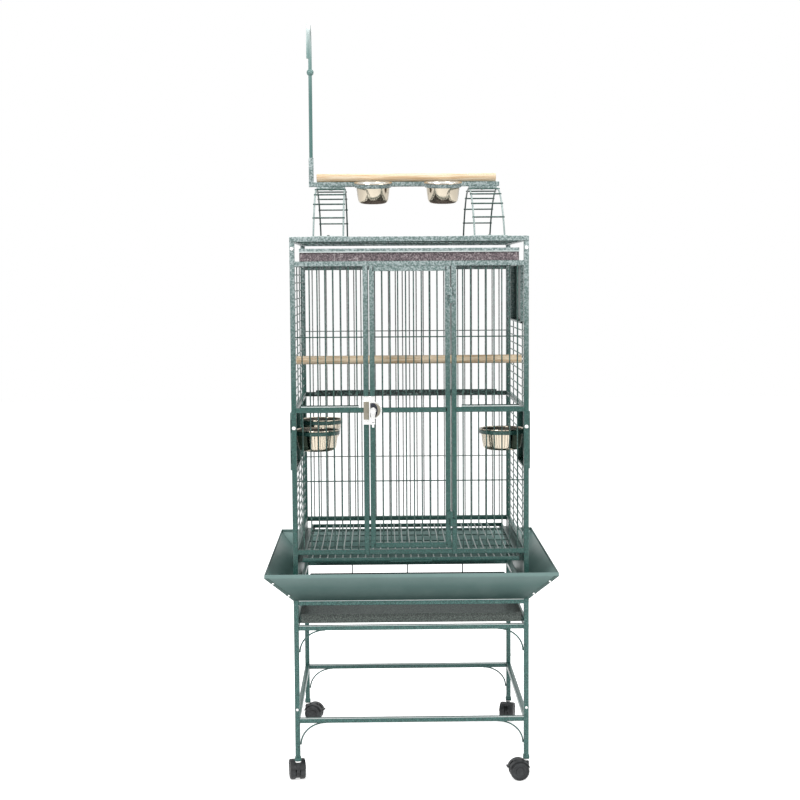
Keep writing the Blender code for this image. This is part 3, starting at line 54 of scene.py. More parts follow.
Pair = tuple[float, float]
Point = tuple[float, float, float]
Shape = bmesh.types.BMesh
Socket = bpy.types.NodeSocket
Tree = bpy.types.NodeTree
TO_FRONT = Vector((0.0, -1.0, 0.0))


class Slot(Enum):
    """The material slots, by name."""

    HAMMERTONE = "hammertone"
    SHEET = "green_sheet"
    STEEL = "steel"
    PLATED = "plated"
    WOOD = "wood"
    RUBBER = "rubber"


class Side(Enum):
    """The two sides of the cage, as signs along X."""

    LEFT = -1
    RIGHT = 1

    @property
    def word(self) -> str:
        """The side's name, as the nodes use it."""
        return self.name.lower()


@dataclass(frozen=True)
class CageSizes:
    """The sizes that the dressed pieces share with the solids."""

    width: float = 0.610
    depth: float = 0.559
    tube: float = 0.0127
    stile: float = 0.0127
    strip: float = 0.005
    fit: float = 0.0003
    bar: float = 0.0035
    wire: float = 0.0030
    leg_bottom: float = 0.055
    shelf_rail: float = 0.1624
    tray_rail: float = 0.4076
    stand_top: float = 0.480
    base_rail: float = 0.606
    belly_rail: float = 0.9740
    head_rail: float = 1.3488
    rear_head_rail: float = 1.3415
    roof_top: float = 1.4175
    doorway: float = 0.214
    door_gap: float = 0.0038
    door_lift: float = 0.005
    side_rows: int = 17
    rail_lap: float = 0.002
    post_bolt_drop: float = 0.017
    belly_bolt_drop: float = 0.045
    grate_drop: float = 0.008
    grate_thick: float = 0.0105
    second_feeder: float = 0.315
    feeder_opening: float = 0.180
    nest_front: float = 0.105
    nest_width: float = 0.295
    hatch_lap: float = 0.005

    @property
    def right(self) -> float:
        """The cage's right face."""
        return self.width / 2

    @property
    def front(self) -> float:
        """The cage's front face."""
        return -self.depth / 2

    @property
    def back(self) -> float:
        """The cage's back face."""
        return self.depth / 2

    @property
    def half(self) -> float:
        """Half the width of a frame tube."""
        return self.tube / 2

    @property
    def base_top(self) -> float:
        """The top face of the bottom rails."""
        return self.base_rail + self.half

    @property
    def belly_bottom(self) -> float:
        """The lower face of the middle rails."""
        return self.belly_rail - self.half

    @property
    def belly_top(self) -> float:
        """The top face of the middle rails."""
        return self.belly_rail + self.half

    @property
    def head_bottom(self) -> float:
        """The lower face of the top rails."""
        return self.head_rail - self.half

    @property
    def post_top(self) -> float:
        """The top end of the corner posts."""
        return self.roof_top - self.tube - self.fit

    @property
    def side_front(self) -> float:
        """The front end of a side wall."""
        return self.front + self.tube + self.fit

    @property
    def side_back(self) -> float:
        """The rear end of a side wall."""
        return self.back - self.tube - self.fit

    @property
    def crossing(self) -> float:
        """How far the middle of a wire lies from the middle of the bar that it crosses."""
        return (self.bar + self.wire) / 2

    @property
    def post_bolts(self) -> Pair:
        """The heights of the bolts in the corner posts."""
        return self.post_top - self.post_bolt_drop, self.belly_rail - self.belly_bolt_drop

    @property
    def grate_top(self) -> float:
        """The top face of the grate's frame."""
        return self.base_rail - self.half - self.grate_drop

    @property
    def upper_pitch(self) -> float:
        """The spacing of the side wires over the middle rail."""
        return (self.head_bottom - self.belly_top) / self.side_rows

    @property
    def feeder_sill(self) -> float:
        """The middle of the strip under each feeder opening."""
        return self.base_top + (self.belly_bottom - self.base_top) / self.side_rows * 10

    @property
    def nest_sill(self) -> float:
        """The middle of the strip under the nest box opening."""
        return self.belly_top + self.upper_pitch * 10

    @property
    def perch_height(self) -> float:
        """The middle of the perch across the cage."""
        return self.belly_top + self.upper_pitch * 5.5


CAGE = CageSizes()


def linear(hex_colour: str) -> tuple[float, float, float, float]:
    """Turns an sRGB hex colour into Blender's linear values.

    Args:
        hex_colour: Six hex digits.

    Returns:
        Red, green, blue and an alpha of one.
    """
    channels = []
    for start in (0, 2, 4):
        share = int(hex_colour[start:start + 2], 16) / 255
        channels.append(share / 12.92 if share <= 0.04045 else ((share + 0.055) / 1.055) ** 2.4)
    return channels[0], channels[1], channels[2], 1.0


def add_node(tree: Tree, kind: str, settings: dict | None = None,
             links: dict | None = None) -> bpy.types.Node:
    """Adds one shader node, sets its values and links its inputs.

    Args:
        tree: The material's node tree.
        kind: The shader node's type name, without its common start.
        settings: Input names, input numbers or attributes, with their values.
        links: Input names or numbers, with the output that feeds each one.

    Returns:
        The new node.
    """
    node = tree.nodes.new("ShaderNode" + kind)
    for key, value in (settings or {}).items():
        if isinstance(key, int) or key in node.inputs:
            node.inputs[key].default_value = value
        elif key == "ramp":
            elements = node.color_ramp.elements
            while len(elements) < len(value):
                elements.new(1.0)
            for element, (position, colour) in zip(elements, value):
                element.position = position
                element.color = linear(colour)
        else:
            setattr(node, key, value)
    for key, socket in (links or {}).items():
        tree.links.new(node.inputs[key], socket)
    return node


def show_white(tree: Tree, output: str, lit: bpy.types.Node, white: bpy.types.Node) -> None:
    """Shows white to the camera's, the glossy and the transmitted rays.

    Args:
        tree: The node tree of the floor's paper or of the world.
        output: The name of its output node.
        lit: The shader for all other rays.
        white: The white shader.
    """
    rays = add_node(tree, "LightPath").outputs
    straight = add_node(tree, "Math", {"operation": "MAXIMUM"}, {
        0: rays["Is Camera Ray"], 1: rays["Is Glossy Ray"]}).outputs[0]
    sight = add_node(tree, "Math", {"operation": "MAXIMUM"}, {
        0: straight, 1: rays["Is Transmission Ray"]}).outputs[0]
    either = add_node(tree, "MixShader", None, {0: sight, 1: lit.outputs[0], 2: white.outputs[0]})
    tree.links.new(tree.nodes[output].inputs["Surface"], either.outputs[0])


class Surface:
    """A material in the making: its nodes, its shader and the object's coordinates."""

    def __init__(self, material: bpy.types.Material) -> None:
        """Starts on a material's shader.

        Args:
            material: The material, with its nodes in use.
        """
        self.tree = material.node_tree
        self.shader = self.tree.nodes["Principled BSDF"]
        self.place = add_node(self.tree, "TexCoord").outputs["Object"]

    def feed(self, name: str, pattern: Socket) -> None:
        """Links a pattern to one of the shader's inputs."""
        self.tree.links.new(self.shader.inputs[name], pattern)

    def height(self) -> Socket:
        """Gives the height over the object's origin."""
        return add_node(self.tree, "SeparateXYZ", None, {0: self.place}).outputs["Z"]

    def squeezed(self, scale: Point) -> Socket:
        """Gives the coordinates with each axis scaled."""
        return add_node(self.tree, "Mapping", {"Scale": scale},
                        {"Vector": self.place}).outputs["Vector"]

    def noise(self, scale: float, detail: float = 2.0, roughness: float = 0.5,
              distortion: float = 0.0, place: Socket | None = None) -> Socket:
        """Adds a noise pattern, and gives its value."""
        look = {"Scale": scale, "Detail": detail, "Roughness": roughness, "Distortion": distortion}
        return add_node(self.tree, "TexNoise", look, {"Vector": place or self.place}).outputs[0]

    def ranged(self, value: Socket, low: float, high: float, to_low: float = 0.0,
               to_high: float = 1.0) -> Socket:
        """Stretches a value from one range to another."""
        ends = {"From Min": low, "From Max": high, "To Min": to_low, "To Max": to_high}
        return add_node(self.tree, "MapRange", ends, {"Value": value}).outputs["Result"]

    def toned(self, value: Socket, *stops: tuple[float, str]) -> Socket:
        """Turns a value into a colour, by stops of a position and a hex colour."""
        return add_node(self.tree, "ValToRGB", {"ramp": stops}, {"Fac": value}).outputs["Color"]

    def bump(self, pattern: Socket, strength: float, depth: float) -> None:
        """Raises the surface by a pattern, to a depth in metres."""
        sizes = {"Strength": strength, "Distance": depth}
        self.feed("Normal", add_node(self.tree, "Bump", sizes, {"Height": pattern}).outputs[0])


@dataclass(frozen=True)
class Finish:
    """A finish: what the surface is made of, and its plain values."""

    name: str
    colour: str
    roughness: float
    metallic: float = 0.0

    def material(self) -> bpy.types.Material:
        """Gives the finish's material, making it the first time.

        Returns:
            The material.
        """
        found = bpy.data.materials.get(self.name)
        if found is not None:
            return found
        made = bpy.data.materials.new(self.name)
        made.use_nodes = True
        surface = Surface(made)
        surface.shader.inputs["Base Color"].default_value = linear(self.colour)
        surface.shader.inputs["Roughness"].default_value = self.roughness
        surface.shader.inputs["Metallic"].default_value = self.metallic
        self.dress(surface)
        return made

    def dress(self, surface: Surface) -> None:
        """Adds the pattern of the surface. The plain finish has none."""


@dataclass(frozen=True)
class HammertonePaint(Finish):
    """Vein powder coat on steel: baked so that metallic green islands part over a dark base."""

    vein: str = "204842"
    island: str = "3a6e67"
    fleck: str = "8fa9a5"
    cell_mm: float = 3.2
    fleck_share: float = 0.25
    glint: str = "b9c6c6"
    glint_share: float = 0.0
    glint_low: float = 1.00
    glint_high: float = 1.38
    coat: float = 0.3

    def dress(self, surface: Surface) -> None:
        """Adds the veins, the pale flecks and the hammered dents.

        Args:
            surface: The material in the making.
        """
        tree = surface.tree
        # The real islands are 2 to 3 mm wide, and are drawn a little coarser so that they show.
        drift = add_node(tree, "TexNoise", {"Scale": 1000 / (self.cell_mm * 2)},
                         {"Vector": surface.place}).outputs["Color"]
        shifted = add_node(tree, "Mix", {"data_type": "VECTOR", 0: 0.004},
                           {4: surface.place, 5: drift}).outputs[1]
        cells = add_node(tree, "TexVoronoi", {"Scale": 1000 / self.cell_mm},
                         {"Vector": shifted}).outputs["Distance"]
        tone = surface.toned(cells, (0.10, self.island), (0.42, self.colour), (0.66, self.vein))
        cluster = surface.noise(1000 / (self.cell_mm * 1.4))
        where = surface.ranged(cluster, 0.57, 0.68, 0.0, self.fleck_share)
        colour = add_node(tree, "Mix", {"data_type": "RGBA", 7: linear(self.fleck)},
                          {0: where, 6: tone}).outputs[2]
        # Painted glints grey the coat towards the top.
        if self.glint_share > 0:
            colour = self.glinted(surface, colour)
        surface.feed("Base Color", colour)
        surface.feed("Roughness", surface.ranged(cells, 0.0, 1.0, self.roughness - 0.06,
                                                 self.roughness + 0.12))
        surface.shader.inputs["Coat Weight"].default_value = self.coat
        surface.shader.inputs["Coat Roughness"].default_value = 0.16
        surface.bump(cells, 0.20, 0.0004)

    def glinted(self, surface: Surface, colour: Socket) -> Socket:
        """Greys the coat towards the top, where its dents glint in the lamp at eye level.

        Args:
            surface: The material in the making.
            colour: The colour without glints.

        Returns:
            The colour with them.
        """
        share = surface.ranged(surface.height(), self.glint_low, self.glint_high)
        dents = surface.noise(1000 / (self.cell_mm * 1.5), roughness=0.7)
        shown = surface.ranged(dents, 0.44, 0.60, 0.25, self.glint_share)
        factor = add_node(surface.tree, "Math", {"operation": "MULTIPLY"},
                          {0: share, 1: shown}).outputs[0]
        return add_node(surface.tree, "Mix", {
            "data_type": "RGBA", 7: linear(self.glint)}, {0: factor, 6: colour}).outputs[2]


@dataclass(frozen=True)
class SatinSheetPaint(Finish):
    """Powder coat on folded sheet: smoother, with faint orange peel and soft cloudy tone."""

    pale: str = "6f8b87"
    peel_mm: float = 2.5
    clouds_per_m: float = 14.0

    def dress(self, surface: Surface) -> None:
        """Adds the cloudy tone and the orange peel.

        Args:
            surface: The material in the making.
        """
        cloud = surface.noise(self.clouds_per_m, 4.0)
        surface.feed("Base Color", surface.toned(cloud, (0.35, self.colour), (0.70, self.pale)))
        peel = surface.noise(1000 / self.peel_mm)
        surface.feed("Roughness", surface.ranged(peel, 0.0, 1.0, self.roughness - 0.05,
                                                 self.roughness + 0.08))
        surface.shader.inputs["Coat Weight"].default_value = 0.15
        surface.shader.inputs["Coat Roughness"].default_value = 0.25
        surface.bump(peel, 0.18, 0.0003)


@dataclass(frozen=True)
class LightGradedSheetPaint(SatinSheetPaint):
    """The same satin coat with painted shade and highlight: dark at one height and pale at another.
    """

    # From the low height to the high one the coat runs from the foot's colour, dark as painted
    # shade, to the crown's, pale as a painted highlight.
    low: float = 0.478
    high: float = 0.560
    foot: str = "16332e"
    crown: str = "7f9a96"

    def dress(self, surface: Surface) -> None:
        """Adds the painted shade and highlight over the height to the cloudy tone.

        Args:
            surface: The material in the making.
        """
        super().dress(surface)
        cloudy = surface.shader.inputs["Base Color"].links[0].from_socket
        share = surface.ranged(surface.height(), self.low, self.high)
        painted_light = surface.toned(share, (0.0, self.foot), (0.55, self.colour), (1.0, self.crown))
        surface.feed("Base Color", add_node(
            surface.tree, "Mix", {"data_type": "RGBA", 0: 0.25},
            {6: painted_light, 7: cloudy}).outputs[2])


@dataclass(frozen=True)
class SpunSteel(Finish):
    """Stainless steel or plate, spun or polished: fine rings of scratches round a vertical."""

    scratch_mm: float = 0.9
    smudges_per_m: float = 60.0

    def dress(self, surface: Surface) -> None:
        """Adds the fine level scratches and smudges.

        Args:
            surface: The material in the making.
        """
        # The map squeezes the noise along Z, so that it reads as level lines.
        level = surface.squeezed((0.08, 0.08, 1.0))
        lines = surface.noise(1000 / self.scratch_mm, 3.0, place=level)
        smudge = surface.noise(self.smudges_per_m, 3.0)
        surface.feed("Roughness", surface.ranged(smudge, 0.3, 0.8, self.roughness * 0.7,
                                                 self.roughness * 1.7))
        surface.bump(lines, 0.06, 0.0002)


@dataclass(frozen=True)
class TurnedBeech(Finish):
    """Beech dowel, turned and sanded: long pale grain with short dark flecks."""

    grain: str = "c79a6c"
    streak: str = "f1dfc4"
    grain_mm: float = 4.0

    def dress(self, surface: Surface) -> None:
        """Adds the long grain, the flecks and the sanded feel.

        Args:
            surface: The material in the making.
        """
        along = surface.squeezed((0.045, 1.0, 1.0))
        grain = surface.noise(1000 / self.grain_mm, 5.0, distortion=0.4, place=along)
        surface.feed("Base Color", surface.toned(
            grain, (0.36, self.grain), (0.52, self.colour), (0.75, self.streak)))
        surface.bump(grain, 0.25, 0.0003)


@dataclass(frozen=True)
class MouldedNylon(Finish):
    """Black nylon, injection moulded: an even matt skin with a fine spark texture."""

    spark_mm: float = 1.2
    wear_per_m: float = 70.0
    worn: str = "45484a"

    def dress(self, surface: Surface) -> None:
        """Adds the spark texture and the greyer worn patches.

        Args:
            surface: The material in the making.
        """
        wear = surface.noise(self.wear_per_m, 4.0)
        surface.feed("Base Color", surface.toned(wear, (0.45, self.colour), (0.75, self.worn)))
        surface.bump(surface.noise(1000 / self.spark_mm), 0.2, 0.0002)


# Baked vein powder coat: dark, mottled and a little glossy, with painted glints that grey it
# towards the top.
PAINT = HammertonePaint("green_vein_powder_coat", "25554e", 0.40, 0.15, island="32645d",
                        fleck_share=0.14, glint_share=0.9)
# The same coat, painted paler on the stand's tubes as painted light, where they catch more of the
# lamp.
LIT_STAND_PAINT = HammertonePaint("lit_stand_vein_coat", "34625c", 0.38, 0.25, island="4c7a74",
                              vein="274c47", fleck_share=0.16)
# The coat on the wires is smoother and greyer, because it runs thin round them.
WIRE_PAINT = HammertonePaint("wire_powder_coat", "35574f", 0.34, 0.20, island="4d7069",
                             vein="243f3b", fleck="8a9f9b", cell_mm=7.0, coat=0.1)
# The back wall's middle rail lies in the shade, where the veins look nearly black.
SHADE_PAINT = HammertonePaint("shaded_vein_powder_coat", "22403b", 0.36, 0.25, island="3a615a",
                              vein="0f1c1a", fleck="8b9d99", cell_mm=5.5, fleck_share=0.6)
# The back wall's wires are painted pale grey, as painted light: thin wires seen against the light
# look pale.
LIT_FAR_WIRE_PAINT = HammertonePaint("lit_far_wire_coat", "9aa3a0", 0.40, 0.10, island="a9b5b2",
                                 vein="878c8a", fleck="b4bbb9", cell_mm=7.0, coat=0.1)
# The arches' front halves, the side wires and the grate's bars face the lamp, so this paler copy
# of the same thin paint paints their highlight.
LAMP_LIT_WIRE_PAINT = HammertonePaint("lamp_lit_wire_coat", "8fa19e", 0.40, 0.10,
                                  island="a3b3b0", vein="7d8f8c", fleck="b9c3c1", coat=0.1)
# A pale coat painted as the highlight on lit edges: the strips of sheet over the middle rails, the
# tops of the stand's rails, the upper tray's lip and the arches' feet.
HIGHLIGHT_PAINT = SatinSheetPaint("painted_highlight_coat", "c4d0cd", 0.42, 0.10, pale="e0e6e6")
# Folded steel sheet under satin powder coat.
SHEET_PAINT = SatinSheetPaint("satin_green_sheet", "3c5d58", 0.38, 0.15)
# The guards' sheet leans outwards; its coat is painted dark at the foot as shade, and greyer
# towards its lip as a painted reflection.
GUARD_PAINT = LightGradedSheetPaint("shade_graded_guard_coat", "456a65", 0.38, 0.15)
# The toy hook's smooth coat pales towards its bend, as a painted highlight where the bend faces
# the lamp.
HOOK_PAINT = LightGradedSheetPaint("highlight_graded_hook_coat", "7b9a96", 0.40, 0.10, low=1.80, high=1.985,
                             foot="3d6b65", crown="dfe6e5")
# The lower tray's coat is browner and duller.
TRAY_PAINT = HammertonePaint("tray_powder_coat", "39443f", 0.50, 0.15, island="59625b",
                             vein="232d29", fleck="77807a")
# The upper tray's coat is rose grey, with a fine pale grain.
ROSE_PAINT = HammertonePaint("rose_grey_powder_coat", "6d6064", 0.50, 0.10, island="8b7d80",
                             vein="453b40", fleck="c3b9ba", cell_mm=3.6, fleck_share=0.6)
# Bowls of stainless steel, spun and then polished.
BOWL_STEEL = SpunSteel("spun_stainless_steel", "c2b8a6", 0.10, 1.0)
# Lock and latches of steel with satin nickel plate.
NICKEL = SpunSteel("satin_nickel_plate", "efefed", 0.24, 0.85)
# The keeper and the lock's face, brushed to a warm satin.
SATIN_STEEL = SpunSteel("satin_brushed_steel", "8f8a7d", 0.45, 0.85)
# The bowls' insides are rougher, and painted darker as the shade in their hollow.
SHADED_INSIDE_STEEL = SpunSteel("shaded_rough_inside_steel", "5f5c55", 0.38, 0.8)
# Bolts and nuts with bright zinc plate.
ZINC = SpunSteel("bright_zinc_plate", "f4f4f3", 0.30, 0.6)
# Perches of bare beech.
BEECH = TurnedBeech("turned_beech", "ecd8ba", 0.62, grain="d6b48a")
# Casters of moulded nylon.
NYLON = MouldedNylon("moulded_black_nylon", "202224", 0.50)
# Painted shade: the black in the lock's recess, and the dark joint line on the lever.
SHADE_BLACK = MouldedNylon("painted_shade_black", "10151f", 0.55, worn="262c3a")


def boxed(low: Point, high: Point, rounding: float = 0.0, along: int | None = None,
          segments: int = 2) -> Shape:
    """Makes a box with rounded edges.

    Args:
        low: The lowest corner.
        high: The highest corner.
        rounding: The radius of the rounded edges.
        along: The axis of the edges to round, or None for every edge.
        segments: The steps round each edge.

    Returns:
        The shape.
    """
    shape = bmesh.new()
    size = [high[axis] - low[axis] for axis in range(3)]
    middle = [(high[axis] + low[axis]) / 2 for axis in range(3)]
    bmesh.ops.create_cube(shape, size=1.0)
    bmesh.ops.scale(shape, vec=size, verts=shape.verts)
    bmesh.ops.translate(shape, vec=middle, verts=shape.verts)
    if rounding > 0:
        edges = shape.edges[:]
        if along is not None:
            edges = [edge for edge in edges
                     if abs(edge.verts[0].co[along] - edge.verts[1].co[along]) > 1e-6]
        eased(shape, edges, rounding, segments)
    return shape


def placed(shape: Shape, matrix: Matrix) -> Shape:
    """Moves a whole shape by a matrix."""
    bmesh.ops.transform(shape, matrix=matrix, verts=shape.verts)
    return shape


def aimed(shape: Shape, start: Point, direction: Vector) -> Shape:
    """Turns a shape's +Z to a direction and moves its origin to a point."""
    turn = direction.to_track_quat("Z", "Y").to_matrix().to_4x4()
    return placed(shape, Matrix.Translation(start) @ turn)


def eased(shape: Shape, edges: list[bmesh.types.BMEdge], offset: float, segments: int) -> None:
    """Rounds some edges of a shape."""
    bmesh.ops.bevel(shape, geom=edges, offset=offset, segments=segments, profile=0.5,
                    affect="EDGES", material=-1)


def halved(shape: Shape, place: Point, away: Point) -> Shape:
    """Cuts away what a shape has beyond a plane, and closes the cut.

    Args:
        shape: The shape.
        place: A point on the plane.
        away: The direction that is cut away.

    Returns:
        The same shape.
    """
    cut = bmesh.ops.bisect_plane(shape, geom=shape.verts[:] + shape.edges[:] + shape.faces[:],
                                 plane_co=place, plane_no=away, clear_outer=True)
    rim = [item for item in cut["geom_cut"] if isinstance(item, bmesh.types.BMEdge)]
    bmesh.ops.holes_fill(shape, edges=rim, sides=0)
    bmesh.ops.recalc_face_normals(shape, faces=shape.faces)
    return shape


def poured(shape: Shape, into: Shape) -> Shape:
    """Pours a shape into another one, and uses it up.

    Args:
        shape: The shape to pour.
        into: The shape that takes it.

    Returns:
        The shape that took it.
    """
    scratch = bpy.data.meshes.new("scratch")
    shape.to_mesh(scratch)
    shape.free()
    into.from_mesh(scratch)
    bpy.data.meshes.remove(scratch)
    return into


def rod(start: Point, end: Point, diameter: float, segments: int = 10) -> Shape:
    """Makes a round bar between two points.

    Args:
        start: One end.
        end: The other end.
        diameter: The bar's diameter.
        segments: The steps round it.

    Returns:
        The shape.
    """
    run = Vector(end) - Vector(start)
    shape = bmesh.new()
    bmesh.ops.create_cone(shape, cap_ends=True, segments=segments, radius1=diameter / 2,
                          radius2=diameter / 2, depth=run.length)
    bmesh.ops.translate(shape, vec=(0.0, 0.0, run.length / 2), verts=shape.verts)
    return aimed(shape, start, run)


def revolved(profile: list[Pair], segments: int = 40) -> Shape:
    """Spins a profile of (radius, height) points round Z.

    Args:
        profile: The points, in order. Points at radius zero close the shape's ends.
        segments: The steps round the axis.

    Returns:
        The closed shape, with its faces pointing outwards.
    """
    shape = bmesh.new()
    points = [shape.verts.new((radius, 0.0, height)) for radius, height in profile]
    closed = profile[0][0] > 0 or profile[-1][0] > 0
    count = len(points) if closed else len(points) - 1
    for index in range(count):
        shape.edges.new((points[index], points[(index + 1) % len(points)]))
    bmesh.ops.spin(shape, geom=shape.verts[:] + shape.edges[:], cent=(0, 0, 0), axis=(0, 0, 1),
                   angle=math.tau, steps=segments, use_merge=True)
    bmesh.ops.remove_doubles(shape, verts=shape.verts, dist=1e-6)
    bmesh.ops.recalc_face_normals(shape, faces=shape.faces)
    return shape


def bends(points: list[Vector]) -> list[Matrix]:
    """Gives the moves of a bar's section from each point of its line to the next.

    Args:
        points: The bar's middle line.

    Returns:
        The moves, each of which also turns the section into the line's bend.
    """
    moves = []
    heading = (points[1] - points[0]).normalized()
    for index in range(1, len(points)):
        after = points[min(index + 1, len(points) - 1)]
        bisector = (after - points[index - 1]).normalized()
        turn = heading.rotation_difference(bisector).to_matrix().to_4x4()
        moves.append(Matrix.Translation(points[index]) @ turn
                     @ Matrix.Translation(-points[index - 1]))
        heading = bisector
    return moves


def bent_rod(points: list[Vector], diameter: float, segments: int = 10) -> Shape:
    """Bends a round bar along a line of points.

    Args:
        points: The middle line.
        diameter: The bar's diameter.
        segments: The sides of the bar.

    Returns:
        The closed shape.
    """
    shape = bmesh.new()
    ring = bmesh.ops.create_circle(shape, cap_ends=True, radius=diameter / 2, segments=segments)
    aimed(shape, points[0], points[1] - points[0])
    loop = list(dict.fromkeys(edge for vert in ring["verts"] for edge in vert.link_edges))
    for step in bends(points):
        grown = bmesh.ops.extrude_edge_only(shape, edges=loop)
        verts = [item for item in grown["geom"] if isinstance(item, bmesh.types.BMVert)]
        loop = [item for item in grown["geom"] if isinstance(item, bmesh.types.BMEdge)
                and all(vert in verts for vert in item.verts)]
        bmesh.ops.transform(shape, matrix=step, verts=verts)
    bmesh.ops.holes_fill(shape, edges=loop, sides=0)
    bmesh.ops.recalc_face_normals(shape, faces=shape.faces)
    return shape


def domed_bolt(place: Point, direction: Point, diameter: float = 0.008) -> Shape:
    """Makes the domed head of a bolt or rivet, standing on a face.

    Args:
        place: The middle of its foot.
        direction: The way that the head faces.
        diameter: The head's diameter.

    Returns:
        The shape.
    """
    radius = diameter / 2
    shape = revolved([(0.0, -radius * 0.3), (radius, -radius * 0.3), (radius, radius * 0.12),
                      (radius * 0.86, radius * 0.42), (radius * 0.5, radius * 0.62),
                      (0.0, radius * 0.7)], 20)
    return aimed(shape, place, Vector(direction))


def extruded(outline: list[Pair], plane: str, low: float, high: float) -> Shape:
    """Extrudes a flat outline.

    Args:
        outline: The corners, in order.
        plane: "YZ" for an outline drawn over Y and Z, "XZ" over X and Z, "XY" over X and Y.
        low: Where the shape starts, along the third axis.
        high: Where it ends.

    Returns:
        The closed shape.
    """
    axis = {"YZ": 0, "XZ": 1, "XY": 2}[plane]
    shape = bmesh.new()
    verts = []
    for first, second in outline:
        spot = [first, second]
        spot.insert(axis, low)
        verts.append(shape.verts.new(spot))
    face = shape.faces.new(verts)
    grown = bmesh.ops.extrude_face_region(shape, geom=[face])
    shift = [0.0, 0.0, 0.0]
    shift[axis] = high - low
    bmesh.ops.translate(shape, vec=shift, verts=[
        item for item in grown["geom"] if isinstance(item, bmesh.types.BMVert)])
    bmesh.ops.recalc_face_normals(shape, faces=shape.faces)
    return shape


def spread(low: float, high: float, count: int) -> list[float]:
    """Gives evenly spaced places between two edges."""
    step = (high - low) / (count + 1)
    return [low + step * (index + 1) for index in range(count)]


class Piece:
    """One visible piece, built up from shapes that each have a finish."""

    def __init__(self, name: str) -> None:
        """Starts an empty piece.

        Args:
            name: The object's name.
        """
        self.name = name
        self.mesh = bmesh.new()
        self.materials: list[bpy.types.Material] = []

    def add(self, shape: Shape, finish: Finish = PAINT) -> None:
        """Takes a shape into the piece.

        Args:
            shape: The shape, in its place. It is used up.
            finish: What it is made of.
        """
        material = finish.material()
        if material not in self.materials:
            self.materials.append(material)
        index = self.materials.index(material)
        for face in shape.faces:
            face.material_index = index
        poured(shape, self.mesh)

    def done(self, node: str, body: str = "cage") -> None:
        """Finishes the piece as an object that rides on a body.

        Args:
            node: The solid that it stands for.
            body: The body that it moves with.
        """
        mesh = bpy.data.meshes.new(self.name)
        self.mesh.normal_update()
        self.mesh.to_mesh(mesh)
        self.mesh.free()
        mesh.shade_smooth()
        mesh.set_sharp_from_angle(angle=math.radians(38.0))
        for material in self.materials:
            mesh.materials.append(material)
        thing = bpy.data.objects.new(self.name, mesh)
        bpy.context.scene.collection.objects.link(thing)
        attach(thing, body)
        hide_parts(node)
        LOG.info("%s rides on %s", self.name, body)


def tube(low: Point, high: Point, along: int) -> Shape:
    """Makes a square steel tube with the rounded corners of rolled tube."""
    return boxed(low, high, 0.0014, along, 3)


def level_tube(low_x: float, high_x: float, low_y: float, level: float) -> Shape:
    """Makes a frame tube that runs from side to side."""
    return tube((low_x, low_y, level - CAGE.half),
                (high_x, low_y + CAGE.tube, level + CAGE.half), 0)


def deep_tube(low_x: float, near: float, far: float, level: float) -> Shape:
    """Makes a frame tube that runs from the front to the back."""
    return tube((low_x, near, level - CAGE.half), (low_x + CAGE.tube, far, level + CAGE.half), 1)


def upright_tube(low_x: float, low_y: float, bottom: float, top: float) -> Shape:
    """Makes a frame tube that stands upright."""
    return tube((low_x, low_y, bottom), (low_x + CAGE.tube, low_y + CAGE.tube, top), 2)


def cross_wires(piece: Piece, ends: Pair, y: float, head: float, finish: Finish) -> None:
    """Adds the two level wires of a front or rear field.

    Args:
        piece: The wall or door that takes them.
        ends: The x of both ends.
        y: How deep they lie.
        head: The middle of the field's top rail.
        finish: Their paint.
    """
    for level in ((CAGE.base_top + CAGE.belly_bottom) / 2,
                  (CAGE.belly_top + head - CAGE.half) / 2):
        piece.add(rod((ends[0], y, level), (ends[1], y, level), CAGE.wire), finish)
